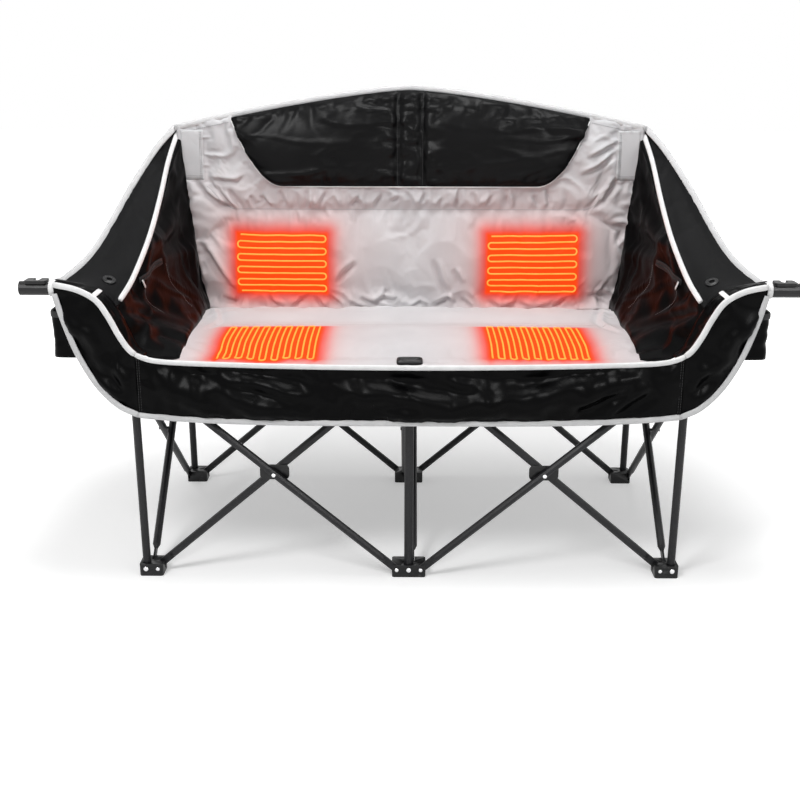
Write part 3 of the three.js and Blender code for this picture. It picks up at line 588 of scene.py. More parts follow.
def two_sided(name, near, far, materials, far_slot=0):
    """A closed body between two grids of points, near and far, with near's normals outwards."""
    rows, columns = near.shape[:2]
    size = rows * columns
    faces, slots = [], []

    def quad(a, b, c, d, slot):
        faces.append((a, b, c, d))
        slots.append(slot)

    def at(side, i, j):
        return side * size + j * columns + i

    for j in range(rows - 1):
        for i in range(columns - 1):
            quad(at(0, i, j), at(0, i + 1, j), at(0, i + 1, j + 1), at(0, i, j + 1), 0)
            quad(at(1, i, j), at(1, i, j + 1), at(1, i + 1, j + 1), at(1, i + 1, j), far_slot)
    for i in range(columns - 1):
        quad(at(0, i, 0), at(1, i, 0), at(1, i + 1, 0), at(0, i + 1, 0), 0)
        quad(at(0, i, rows - 1), at(0, i + 1, rows - 1), at(1, i + 1, rows - 1), at(1, i, rows - 1), 0)
    for j in range(rows - 1):
        quad(at(0, 0, j), at(0, 0, j + 1), at(1, 0, j + 1), at(1, 0, j), 0)
        quad(at(0, columns - 1, j), at(1, columns - 1, j), at(1, columns - 1, j + 1), at(0, columns - 1, j + 1), 0)
    points = np.concatenate([near.reshape(-1, 3), far.reshape(-1, 3)])
    cut = [(i / (columns - 1), j / (rows - 1)) for j in range(rows) for i in range(columns)]
    return outward(mesh_object(name, points, faces, materials, slots, cut + cut), even=False)


def sheet_body(name, points, thickness, materials):
    offset = grid_normals(points) * thickness / 2
    return two_sided(name, points + offset, points - offset, materials)


def folded(place, seed, sharp):
    """Height of slack folds at a place: broad swells, with a sharp crest where a second noise is nil."""
    q = Vector(place) + Vector((seed, seed * 1.7, seed * 0.6))
    swell = noise.noise(q)
    crest = max(0.0, 1 - abs(noise.noise(q * 1.35 + Vector((9, 4, 2)))) * 3.4) ** 1.6
    return swell * (1 - sharp) + (crest - 0.3) * sharp


def pressed(across, up, folds):
    """Heights of folds pressed in along lines: a valley with a soft ridge beside it, sized in millimetres."""
    heights = np.zeros(across.shape)
    for line, width, depth in folds:
        line = np.array(line)
        nearest, side, run = np.full(across.shape, 9.0), np.ones(across.shape), np.zeros(across.shape)
        total = 0.0
        for start, step in zip(line, np.diff(line, axis=0)):
            length = float(np.hypot(*step))
            way = step / length
            along = np.clip((across - start[0]) * way[0] + (up - start[1]) * way[1], 0, length)
            off_across, off_up = across - start[0] - along * way[0], up - start[1] - along * way[1]
            apart = np.hypot(off_across, off_up)
            near = apart < nearest
            nearest = np.where(near, apart, nearest)
            side = np.where(near, np.sign(off_up * way[0] - off_across * way[1]), side)
            run = np.where(near, total + along, run)
            total += length
        taper = np.clip(4 * np.minimum(run, total - run) / total, 0, 1)
        t = side * nearest / (width / 1000)
        heights += depth / 1000 * taper * (0.8 * np.exp(-((t - 1.2) ** 2)) - np.exp(-(t**2)))
    return heights


def finer(points):
    """The same cloth on a grid twice as fine, with smooth curves between the points."""
    for axis in (0, 1):
        rows = np.moveaxis(points, axis, 0)
        longer = np.concatenate([2 * rows[:1] - rows[1:2], rows, 2 * rows[-1:] - rows[-2:-1]])
        between = (9 * (longer[1:-2] + longer[2:-1]) - longer[:-3] - longer[3:]) / 16
        woven = np.empty((2 * len(rows) - 1,) + rows.shape[1:])
        woven[::2] = rows
        woven[1::2] = between
        points = np.moveaxis(woven, 0, axis)
    return points


# How far a pressed fold may stand out or lie in
FOLD_LIMIT = 0.013


def with_folds(points, folds, axes, way, scale=1.0, clear=None, cells=5):
    """A finer cloth with folds pressed in, measured along two axes and standing out along a direction."""
    points = finer(points)
    across, up = (abs(points[:, :, axis]) if mirror else points[:, :, axis] for axis, mirror in axes)
    heights = FOLD_LIMIT * np.tanh(pressed(across, up, folds) * scale / FOLD_LIMIT)
    rows, columns = heights.shape
    ease = np.minimum(1.0, distance_in(edge_pins(rows, columns)) / cells)
    if clear:
        ease = ease * clear(points)
    return points + (heights * ease)[:, :, None] * np.array(way, float)


def away_from(zones, axis):
    """Keeps folds out of heated zones: 1 well outside them, little inside."""

    def share(points):
        kept = np.ones(points.shape[:2])
        for middle_x, middle_v, half_w, half_h in zones:
            out_x = np.maximum(0, abs(points[:, :, 0] - middle_x) - half_w)
            out_v = np.maximum(0, abs(points[:, :, axis] - middle_v) - half_h)
            kept = np.minimum(kept, np.clip(0.15 + np.hypot(out_x, out_v) / 0.025, 0, 1))
        return kept

    return share


def distance_in(pinned):
    """How many cells each point lies from the nearest seam."""
    found = np.where(pinned, 0.0, 99.0)
    for _ in range(12):
        near = found.copy()
        near[1:] = np.minimum(near[1:], found[:-1] + 1)
        near[:-1] = np.minimum(near[:-1], found[1:] + 1)
        near[:, 1:] = np.minimum(near[:, 1:], found[:, :-1] + 1)
        near[:, :-1] = np.minimum(near[:, :-1], found[:, 1:] + 1)
        found = near
    return found


# Share of the cut-in folds that stays on top of what the cloth settles to
KEPT_FOLD = 0.45


def settle(points, height, toward, pull, slack, cap, seams=None, frames=20, bending=0.5, cells=4):
    """Cloth cut a little too large for its seams, rumpled by a height towards one side, that settles under a pull."""
    rows, columns = points.shape[:2]
    heights = heights_of(points, height, toward)
    pinned = edge_pins(rows, columns) if seams is None else seams
    ease = np.minimum(1.0, distance_in(pinned) / cells)[:, :, None]
    ease = ease * ease * (3 - 2 * ease)
    stirred = points + grid_normals(points) * np.array(heights)[:, :, None] * ease
    cloth = mesh_object("settling", stirred.reshape(-1, 3), grid_faces(rows, columns), [])
    group = cloth.vertex_groups.new(name="seams")
    group.add([int(k) for k in np.flatnonzero(pinned.ravel())], 1.0, "REPLACE")
    modifier = cloth.modifiers.new("settle", "CLOTH")
    set_up = modifier.settings
    set_up.quality = 5
    set_up.mass = 0.10
    set_up.tension_stiffness = 18
    set_up.compression_stiffness = 14
    set_up.shear_stiffness = 6
    set_up.bending_stiffness = bending
    set_up.tension_damping = set_up.compression_damping = 8
    set_up.air_damping = 1
    set_up.vertex_group_mass = "seams"
    set_up.shrink_min = -slack
    modifier.collision_settings.use_collision = False
    scene = bpy.context.scene
    scene.gravity = pull
    for step in range(1, frames + 1):
        scene.frame_set(step)
    settled = cloth.evaluated_get(bpy.context.evaluated_depsgraph_get()).data
    moved = np.zeros(len(settled.vertices) * 3)
    settled.vertices.foreach_get("co", moved)
    moved = moved.reshape(rows, columns, 3)
    bpy.data.objects.remove(cloth)
    scene.frame_set(1)
    scene.gravity = (0, 0, -9.81)
    shift = moved - points
    reach = np.linalg.norm(shift, axis=2, keepdims=True)
    limit = cap * (0.08 + 0.92 * ease)
    found = points + shift * limit * np.tanh(reach / limit) / np.maximum(reach, 1e-9)
    return found + (stirred - points) * KEPT_FOLD


def heights_of(points, height, toward):
    """A height for each point of the grid, counted towards the given side."""
    facing = grid_normals(points).mean((0, 1)) @ np.array(toward, float)
    way = 1 if facing > 0 else -1
    return [[way * height(*p) for p in row] for row in points]


def edge_pins(rows, columns):
    pinned = np.zeros((rows, columns), bool)
    pinned[0], pinned[-1], pinned[:, 0], pinned[:, -1] = True, True, True, True
    return pinned


def curve_points(table, count, place):
    """A smooth curve through the places of a table, as evenly spaced points."""
    table = [Vector(place(*entry)) for entry in table]
    table = [table[0] * 2 - table[1]] + table + [table[-1] * 2 - table[-2]]
    found = []
    for n in range(len(table) - 3):
        a, b, c, d = table[n : n + 4]
        for t in np.linspace(0, 1, 24, endpoint=n == len(table) - 4):
            t = float(t)
            cubic = (2 * b) + (c - a) * t + (2 * a - 5 * b + 4 * c - d) * t * t + (3 * b - a - 3 * c + d) * t**3
            found.append(0.5 * cubic)
    return evenly(found, count=count)


def as_it_is(x, y, z):
    return (x, y, z)


def evenly(path, step=0.01, count=None):
    """The same path with its points an even step apart."""
    path = np.array([tuple(p) for p in path], float)
    lengths = np.concatenate([[0], np.cumsum(np.linalg.norm(np.diff(path, axis=0), axis=1))])
    count = count or max(2, int(round(lengths[-1] / step)))
    wanted = np.linspace(0, lengths[-1], count + 1)
    return np.stack([np.interp(wanted, lengths, path[:, k]) for k in range(3)], 1)


def patch_between(top, bottom, start, end):
    """A grid of points stretched between four edges: start and end run from top to bottom."""
    columns, rows = len(top), len(start)
    u = np.linspace(0, 1, columns)[None, :, None]
    v = np.linspace(0, 1, rows)[:, None, None]
    across = (1 - v) * top[None] + v * bottom[None]
    down = (1 - u) * start[:, None] + u * end[:, None]
    corners = (1 - u) * (1 - v) * top[0] + u * (1 - v) * top[-1] + (1 - u) * v * bottom[0] + u * v * bottom[-1]
    return across + down - corners


def ring_faces(count, sides, closed=False):
    """Faces between rings of points one after the other: the ends are capped, or the last ring meets the first."""
    faces = []
    for k in range(count if closed else count - 1):
        n = (k + 1) % count
        for s in range(sides):
            t = (s + 1) % sides
            faces.append((k * sides + s, k * sides + t, n * sides + t, n * sides + s))
    if not closed:
        faces.append(tuple(reversed(range(sides))))
        faces.append(tuple((count - 1) * sides + s for s in range(sides)))
    return faces


def rounded_turn(s, sides, power):
    """The cosine and sine of one step of a turn, drawn out towards a rounded square."""
    c, q = math.cos(s * math.tau / sides), math.sin(s * math.tau / sides)
    return math.copysign(abs(c) ** (2 / power), c), math.copysign(abs(q) ** (2 / power), q)


def tape(name, path, across, width, thickness, material, step=0.012, squareness=3.0):
    """A sewn tape or piping swept along a path: width lies along across, thickness is the other way."""
    path = evenly(path, step)
    tangents = np.gradient(path, axis=0)
    tangents /= np.linalg.norm(tangents, axis=1, keepdims=True)
    sides = 12
    points = []
    for k, (point, tangent) in enumerate(zip(path, tangents)):
        wide = np.array(across(point), float)
        wide -= tangent * (wide @ tangent)
        wide /= np.linalg.norm(wide)
        thick = np.cross(tangent, wide)
        closing = 0.86 if k in (0, len(path) - 1) else 1.0
        for s in range(sides):
            c, q = rounded_turn(s, sides, squareness)
            points.append(point + closing * (wide * c * width / 2 + thick * q * thickness / 2))
    return outward(mesh_object(name, points, ring_faces(len(path), sides), [material]))


# ---- Geometry Nodes for what repeats ----


def geometry_tree(name, inputs):
    tree = bpy.data.node_groups.new(name, "GeometryNodeTree")
    tree.interface.new_socket("Geometry", in_out="INPUT", socket_type="NodeSocketGeometry")
    kinds = {float: "NodeSocketFloat", int: "NodeSocketInt"}
    for label, value in inputs:
        if isinstance(value, str):
            tree.interface.new_socket(label, in_out="INPUT", socket_type="NodeSocketMaterial")
        else:
            socket = tree.interface.new_socket(label, in_out="INPUT", socket_type=kinds[type(value)])
            socket.default_value = value
    tree.interface.new_socket("Geometry", in_out="OUTPUT", socket_type="NodeSocketGeometry")
    return tree, tree.nodes.new("NodeGroupInput"), tree.nodes.new("NodeGroupOutput")


def end_tree(tree, given, result, made, label, steps=("RealizeInstances", "SetMaterial")):
    """What was made goes through the steps, as real meshes in the material of the given input."""
    for step in steps:
        node = tree.nodes.new("GeometryNode" + step)
        tree.links.new(made, node.inputs[0])
        made = node.outputs[0]
    tree.links.new(given.outputs[label], node.inputs["Material"])
    tree.links.new(made, result.inputs[0])
    return tree


def stitch_tree():
    """Thread stitches: short capsules laid end to end along a path."""
    tree, given, result = geometry_tree(
        "stitches_along_a_path", [("Pitch", 0.005), ("Length", 0.0034), ("Radius", 0.0004), ("Thread", "")]
    )
    make, link = tree.nodes.new, tree.links.new
    curve = make("GeometryNodeMeshToCurve")
    spread = make("GeometryNodeCurveToPoints")
    spread.mode = "LENGTH"
    dash = make("GeometryNodeMeshCylinder")
    dash.inputs["Vertices"].default_value = 6
    place = make("GeometryNodeInstanceOnPoints")
    link(given.outputs["Geometry"], curve.inputs[0])
    link(curve.outputs[0], spread.inputs["Curve"])
    link(given.outputs["Pitch"], spread.inputs["Length"])
    link(given.outputs["Radius"], dash.inputs["Radius"])
    link(given.outputs["Length"], dash.inputs["Depth"])
    lay = make("FunctionNodeAlignEulerToVector")
    lay.axis = "Z"
    link(spread.outputs["Tangent"], lay.inputs["Vector"])
    link(spread.outputs["Points"], place.inputs["Points"])
    link(dash.outputs["Mesh"], place.inputs["Instance"])
    link(lay.outputs[0], place.inputs["Rotation"])
    return end_tree(tree, given, result, place.outputs[0], "Thread")


def wire_tree():
    """A heating wire: a round wire swept along its path."""
    tree, given, result = geometry_tree("wire_along_a_path", [("Radius", 0.0014), ("Sides", 8), ("Wire", "")])
    make, link = tree.nodes.new, tree.links.new
    curve = make("GeometryNodeMeshToCurve")
    ring = make("GeometryNodeCurvePrimitiveCircle")
    sweep = make("GeometryNodeCurveToMesh")
    sweep.inputs["Fill Caps"].default_value = True
    link(given.outputs["Geometry"], curve.inputs[0])
    link(given.outputs["Radius"], ring.inputs["Radius"])
    link(given.outputs["Sides"], ring.inputs["Resolution"])
    link(curve.outputs[0], sweep.inputs["Curve"])
    link(ring.outputs[0], sweep.inputs["Profile Curve"])
    return end_tree(tree, given, result, sweep.outputs[0], "Wire")


def rivet_tree():
    """Domed rivets: one flattened dome on each point, along the point's own way and at its own size."""
    tree, given, result = geometry_tree("rivets_on_points", [("Flatness", RIVET_FLATNESS), ("Metal", "")])
    make, link = tree.nodes.new, tree.links.new
    dome = make("GeometryNodeMeshUVSphere")
    dome.inputs["Segments"].default_value = 20
    dome.inputs["Rings"].default_value = 10
    dome.inputs["Radius"].default_value = 1.0
    flat = make("GeometryNodeTransform")
    scale = make("ShaderNodeCombineXYZ")
    scale.inputs[0].default_value = scale.inputs[1].default_value = 1.0
    read = {}
    for label, kind in (("facing", "FLOAT_VECTOR"), ("size", "FLOAT")):
        node = make("GeometryNodeInputNamedAttribute")
        node.data_type = kind
        node.inputs["Name"].default_value = label
        read[label] = node.outputs["Attribute"]
    turn = make("FunctionNodeAlignEulerToVector")
    turn.axis = "Z"
    place = make("GeometryNodeInstanceOnPoints")
    link(given.outputs["Flatness"], scale.inputs[2])
    link(dome.outputs["Mesh"], flat.inputs["Geometry"])
    link(scale.outputs[0], flat.inputs["Scale"])
    link(read["facing"], turn.inputs["Vector"])
    link(given.outputs["Geometry"], place.inputs["Points"])
    link(flat.outputs[0], place.inputs["Instance"])
    link(turn.outputs[0], place.inputs["Rotation"])
    link(read["size"], place.inputs["Scale"])
    steps = ("RealizeInstances", "SetShadeSmooth", "SetMaterial")
    return end_tree(tree, given, result, place.outputs[0], "Metal", steps)


STITCHES = stitch_tree()
WIRES = wire_tree()
RIVETS = rivet_tree()


def grown(name, tree, points, edges, values, attributes=None):
    """A piece that a Geometry Nodes tree grows on points and edges, kept as a plain mesh."""
    mesh = bpy.data.meshes.new(name)
    mesh.from_pydata([tuple(map(float, p)) for p in points], edges, [])
    for label, (kind, data) in (attributes or {}).items():
        layer = mesh.attributes.new(label, kind, "POINT")
        layer.data.foreach_set("vector" if kind == "FLOAT_VECTOR" else "value", np.array(data, np.float32).ravel())
    made = bpy.data.objects.new(name, mesh)
    bpy.context.scene.collection.objects.link(made)
    modifier = made.modifiers.new("grow", "NODES")
    modifier.node_group = tree
    for item in tree.interface.items_tree:
        if item.item_type == "SOCKET" and item.in_out == "INPUT" and item.name in values:
            modifier[item.identifier] = values[item.name]
    return plain(made)


def chained(paths):
    """The points of some paths, and the edges along each."""
    points, edges = [], []
    for path in paths:
        first = len(points)
        points += [tuple(p) for p in path]
        edges += [(k, k + 1) for k in range(first, len(points) - 1)]
    return points, edges


def stitched(name, paths, material, pitch=0.005, length=0.0034, radius=0.0005):
    points, edges = chained(paths)
    values = {"Pitch": pitch, "Length": length, "Radius": radius, "Thread": material}
    return grown(name, STITCHES, points, edges, values)


def riveted(name, places):
    """places: (point, facing, radius) of each rivet."""
    points, facings, radii = zip(*places)
    attributes = {"facing": ("FLOAT_VECTOR", facings), "size": ("FLOAT", radii)}
    return grown(name, RIVETS, points, [], {"Flatness": RIVET_FLATNESS, "Metal": ZINC}, attributes)


# ---- Camera ----


# The camera fitted to the photo: focal length in pixels, its turn in degrees and its place
PHOTO_WIDTH = 800
FOCAL_LENGTH = 1095.2
PITCH, YAW, ROLL = 17.90, -0.387, 0.111
CAMERA_PLACE = (-0.0046, FRONT_ROW - 2.0088, 1.0207)
SENSOR_WIDTH = 36


def photo_camera():
    pitch, yaw, roll = map(math.radians, (PITCH, YAW, ROLL))
    forward = Vector((math.sin(yaw) * math.cos(pitch), math.cos(yaw) * math.cos(pitch), -math.sin(pitch)))
    right = Vector((math.cos(yaw), -math.sin(yaw), 0))
    up = right.cross(forward)
    turned_right = right * math.cos(roll) + up * math.sin(roll)
    turned_up = up * math.cos(roll) - right * math.sin(roll)
    data = bpy.data.cameras.new("photo_camera")
    data.sensor_width = SENSOR_WIDTH
    data.lens = FOCAL_LENGTH / PHOTO_WIDTH * SENSOR_WIDTH
    data.clip_end = 50
    camera = bpy.data.objects.new("photo_camera", data)
    turn = Matrix((turned_right, turned_up, -forward)).transposed().to_4x4()
    camera.matrix_world = Matrix.Translation(CAMERA_PLACE) @ turn
    bpy.context.scene.collection.objects.link(camera)
    bpy.context.scene.camera = camera


photo_camera()


# ---- Steel and plastic ----

for name, node in frame["nodes"].items():
    metal = name.startswith(("leg_", "rod_", "post_", "scissor_", "arm_strut"))
    for slot in node.material_slots:
        slot.material = STEEL if metal else PLASTIC


def rigid_piece(made, body):
    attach(made, body)


def rounded(node, width, material):
    """The moulded piece with its edges rounded off, in place of the plain solid."""
    source = frame["nodes"][node]
    made = bpy.data.objects.new(node + "_moulded", source.data.copy())
    bpy.context.scene.collection.objects.link(made)
    whole = bmesh.new()
    whole.from_mesh(made.data)
    bmesh.ops.remove_doubles(whole, verts=whole.verts, dist=1e-5)
    bmesh.ops.dissolve_limit(whole, angle_limit=math.radians(2), verts=whole.verts, edges=whole.edges)
    whole.to_mesh(made.data)
    whole.free()
    made.data.materials.clear()
    made.data.materials.append(material)
    bevel = bevelled(made, width)
    bevel.limit_method = "ANGLE"
    bevel.angle_limit = math.radians(50)
    bevel.harden_normals = True
    plain(made)
    rigid_piece(made, source["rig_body"])
    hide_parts(node)
    return made


for name in list(frame["nodes"]):
    if name.startswith(("foot_", "crossing_")):
        rounded(name, 0.0012, PLASTIC)


def add_rivets():
    for row, y in (("front", FRONT_ROW), ("rear", REAR_ROW)):
        out = -1 if row == "front" else 1
        face = y + out * (BLOCK_BACK + RIVET_HEAD)
        for column, x in COLUMNS.items():
            inward = [-1, 1] if column == "centre" else [-math.copysign(1, x)]
            places = [((x, face, FOOT_PIVOT), (0, out, 0), RIVET_RADIUS["middle"])]
            for side in inward:
                places.append(((x + side * PIVOT_OFFSET, face, FOOT_PIVOT), (0, out, 0), RIVET_RADIUS["pivot"]))
            rivets = riveted(f"foot_rivets_{row}_{column}", places)
            rigid_piece(rivets, f"leg_{row}_{column}")
        for side, sign in SIDES.items():
            x = sign * COLUMNS["right"] / 2
            reach = CROSSING_REACH + RIVET_HEAD
            places = [
                ((x, y + way * reach, CROSSING_HEIGHT), (0, way, 0), RIVET_RADIUS["crossing"]) for way in (-1, 1)
            ]
            rivets = riveted(f"crossing_rivets_{row}_{side}", places)
            rigid_piece(rivets, f"scissor_{row}_{side}_rising_out")


add_rivets()


# ---- Seat ----


def seat_top(x, y):
    across = plateau((x / SEAT_HALF + 1) / 2)
    along = plateau((y - SEAT_FRONT) / (SEAT_REAR - SEAT_FRONT))
    channel = SEAT_CHANNEL * dip(y, SEAT_MIDDLE, SEAT_CHANNEL_WIDTH)
    return SEAT_UNDERSIDE + SEAT_EDGE + max(0.0, (SEAT_CROWN - 0.003) * along - channel) * across


def soft_piece(made, body):
    rigid_piece(made, body)
    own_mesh(made)
    return made


# Creases pressed into the seat: (line in (|x|, y), width and depth in mm)
SEAT_FOLDS = [
    ([(0.432, 0.165), (0.402, 0.040), (0.430, -0.080)], 8, 6), ([(0.445, 0.060), (0.380, 0.110)], 6, 4),
    ([(0.190, 0.165), (0.090, 0.120)], 7, 2), ([(0.436, -0.130), (0.370, -0.175)], 7, 4),
    ([(0.475, 0.120), (0.430, 0.150)], 6, 5), ([(0.030, 0.140), (0.120, 0.100)], 8, 2),
    ([(0.360, 0.150), (0.330, 0.100)], 7, 3),
]


def seat_height(x, y, z):
    height = 0.0026 * folded((x * 8, y * 6, 0), 3.1, 0.3)
    rear = math.exp(-(SEAT_REAR - y) / 0.05)
    height += 0.004 * rear * folded((x * 26, y * 8, 0), 4.4, 0.5)
    return height


def add_seat():
    count_u, half_rows = 110, 24
    near_row = 4

    def surface(u, v):
        x = lerp(-SEAT_HALF, SEAT_HALF, u)
        y = lerp(SEAT_FRONT, SEAT_MIDDLE, 2 * v) if v <= 0.5 else lerp(SEAT_MIDDLE, SEAT_REAR, 2 * v - 1)
        return (x, y, seat_top(x, y))

    points = grid_points(count_u, half_rows * 2, surface)
    pinned = edge_pins(half_rows * 2 + 1, count_u + 1)
    pinned[near_row] = True
    top = settle(points, seat_height, (0, 0, 1), pull=(0, 0, 0.4), slack=0.025, cap=0.012, seams=pinned, bending=0.6)
    top = with_folds(top, SEAT_FOLDS, ((0, True), (1, False)), (0, 0, 1), clear=away_from(SEAT_ZONES, 1))
    top[:, :, 2] = np.maximum(top[:, :, 2], SEAT_UNDERSIDE + SEAT_EDGE)
    floor = top.copy()
    floor[:, :, 2] = SEAT_UNDERSIDE
    parts = {"front": slice(0, 2 * half_rows + 1), "rear": slice(2 * half_rows, None)}
    for part, rows in parts.items():
        pad = two_sided(f"seat_cushion_{part}", top[rows], floor[rows], [SEAT_GREY, BLACK_NYLON], far_slot=1)
        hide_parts(f"seat_pad_{part}")
        soft_piece(pad, f"seat_{part}")
    return top


seat_surface = add_seat()


# ---- Back ----


# How far the back's bottom edge billows over the seat
BACK_FLARE = 0.026


def back_top(x):
    reach = min(1, abs(x) / BACK_HALF_TOP)
    return BACK_CENTRE - (BACK_CENTRE - BACK_CORNER) * reach**1.35


def back_rear(z):
    share = (z - BACK_BOTTOM) / (POST_TOP - BACK_BOTTOM)
    return REAR_ROW - lerp(BACK_REAR_LOW, BACK_REAR_HIGH, share)


def back_half(z):
    return lerp(BACK_HALF_BOTTOM, BACK_HALF_TOP, (z - BACK_BOTTOM) / (BACK_CENTRE - BACK_BOTTOM))


def back_depth(x, z):
    across = plateau(min(1, max(0, (x / back_half(z) + 1) / 2)))
    share = (z - BACK_BOTTOM) / (back_top(x) - BACK_BOTTOM)
    crown = 0.016 * across * plateau(min(1, max(0, share)))
    seam = 0.009 * across * dip(z, back_seam(x), 0.012)
    return 0.008 + max(0, crown - seam)


def back_seam(x):
    return BACK_SEAM + 0.055 * smooth((abs(x) - 0.395) / 0.075)


def headrest_bottom(x):
    t = max(0, (abs(x) - HEADREST_HALF_BOTTOM) / (HEADREST_HALF_TOP - HEADREST_HALF_BOTTOM))
    return HEADREST_BOTTOM + 0.142 * t * t


# Folds pressed into the back: (line in (x, z), width and depth in mm)
BACK_FOLDS = [
    ([(-0.483, 0.601), (-0.455, 0.563), (-0.427, 0.517), (-0.396, 0.481)], 8, 9),
    ([(-0.483, 0.728), (-0.457, 0.701), (-0.428, 0.679), (-0.399, 0.673)], 7, 9),
    ([(-0.455, 0.734), (-0.388, 0.73), (-0.363, 0.75)], 6, 5), ([(-0.379, 0.673), (-0.411, 0.713)], 6, 8),
    ([(-0.349, 0.673), (-0.36, 0.702)], 5, 6), ([(-0.337, 0.702), (-0.315, 0.673)], 5, 7),
    ([(-0.292, 0.713), (-0.281, 0.68)], 5, 6), ([(-0.229, 0.717), (-0.232, 0.673)], 5, 8),
    ([(-0.209, 0.673), (-0.186, 0.713)], 5, 6), ([(-0.173, 0.702), (-0.164, 0.673)], 5, 6),
    ([(-0.135, 0.676), (-0.119, 0.696), (-0.108, 0.674)], 5, 6), ([(-0.083, 0.676), (-0.06, 0.707)], 5, 6),
    ([(-0.045, 0.685), (-0.022, 0.703)], 5, 5), ([(-0.259, 0.669), (-0.253, 0.64)], 5, 4),
    ([(-0.196, 0.669), (-0.185, 0.651)], 5, 4), ([(-0.139, 0.669), (-0.131, 0.64)], 5, 4),
    ([(-0.166, 0.504), (-0.152, 0.529), (-0.12, 0.557)], 7, 7),
    ([(-0.327, 0.481), (-0.312, 0.463), (-0.279, 0.449)], 5, 7),
    ([(-0.272, 0.449), (-0.244, 0.471), (-0.221, 0.482)], 6, 8),
    ([(-0.221, 0.482), (-0.199, 0.454), (-0.187, 0.446)], 5, 7),
    ([(-0.189, 0.482), (-0.166, 0.464), (-0.151, 0.449)], 5, 7),
    ([(-0.143, 0.468), (-0.119, 0.453), (-0.083, 0.449)], 5, 7),
    ([(-0.118, 0.474), (-0.083, 0.462), (-0.061, 0.474), (-0.04, 0.468), (-0.022, 0.474)], 6, 8),
    ([(-0.061, 0.474), (-0.052, 0.495)], 5, 5), ([(-0.493, 0.578), (-0.484, 0.54), (-0.476, 0.51)], 5, 6),
    ([(-0.474, 0.481), (-0.477, 0.448)], 5, 6), ([(-0.434, 0.473), (-0.394, 0.461), (-0.389, 0.481)], 6, 8),
    ([(-0.011, 0.714), (0.012, 0.676)], 5, 6), ([(0.023, 0.681), (0.034, 0.707)], 5, 5),
    ([(0.061, 0.676), (0.074, 0.698)], 5, 6), ([(0.102, 0.676), (0.112, 0.721)], 5, 7),
    ([(0.139, 0.714), (0.153, 0.677)], 5, 6), ([(0.169, 0.677), (0.184, 0.703)], 5, 6),
    ([(0.218, 0.703), (0.225, 0.677)], 5, 6), ([(0.293, 0.677), (0.274, 0.703)], 5, 6),
    ([(0.315, 0.677), (0.307, 0.714)], 5, 6), ([(0.428, 0.677), (0.453, 0.715), (0.463, 0.743)], 7, 9),
    ([(0.38, 0.743), (0.424, 0.765), (0.46, 0.796)], 6, 7),
    ([(0.394, 0.78), (0.429, 0.798), (0.466, 0.817)], 6, 6),
    ([(0.498, 0.633), (0.476, 0.611), (0.47, 0.588)], 6, 7),
    ([(0.429, 0.648), (0.459, 0.633), (0.497, 0.637)], 6, 6), ([(0.429, 0.47), (0.463, 0.451)], 5, 6),
    ([(0.406, 0.475), (0.436, 0.484), (0.466, 0.476)], 6, 7),
    ([(0.053, 0.564), (0.07, 0.512), (0.086, 0.483)], 7, 7), ([(0.099, 0.542), (0.116, 0.505)], 6, 6),
    ([(0.001, 0.45), (0.024, 0.464), (0.047, 0.45)], 5, 7),
    ([(0.047, 0.45), (0.086, 0.472), (0.108, 0.455)], 6, 8), ([(0.116, 0.475), (0.145, 0.45)], 5, 7),
    ([(0.177, 0.469), (0.206, 0.45), (0.246, 0.463)], 6, 8),
    ([(0.246, 0.463), (0.281, 0.447), (0.313, 0.456)], 6, 8), ([(0.327, 0.451), (0.361, 0.475)], 5, 6),
]


def back_height(x, y, z):
    above = z - back_seam(x)
    low = z - BACK_BOTTOM
    height = 0.0075 * folded((x * 7, z * 9, 0), 1.3, 0.35)
    if above > 0:
        pleats = 0.65 * noise.noise(Vector((x * 62, z * 6, 2.2))) + 0.5 * folded((x * 24, z * 14, 0), 2.0, 0.6)
        height += 0.0060 * math.exp(-above / 0.026) * pleats
    else:
        height += 0.0045 * math.exp(above / 0.020) * noise.noise(Vector((x * 55, z * 5, 8.1)))
    ruffle = math.exp(-(((low - 0.026) / 0.030) ** 2))
    height += 0.014 * ruffle * folded((x * 15, z * 13 - abs(x) * 4, 0), 5.6, 0.55)
    beside = math.exp(-max(0.0, back_half(z) - abs(x)) / 0.05)
    height += 0.0070 * beside * smooth((0.76 - z) / 0.10) * folded((x * 9, z * 26, 0), 6.2, 0.5)
    return height


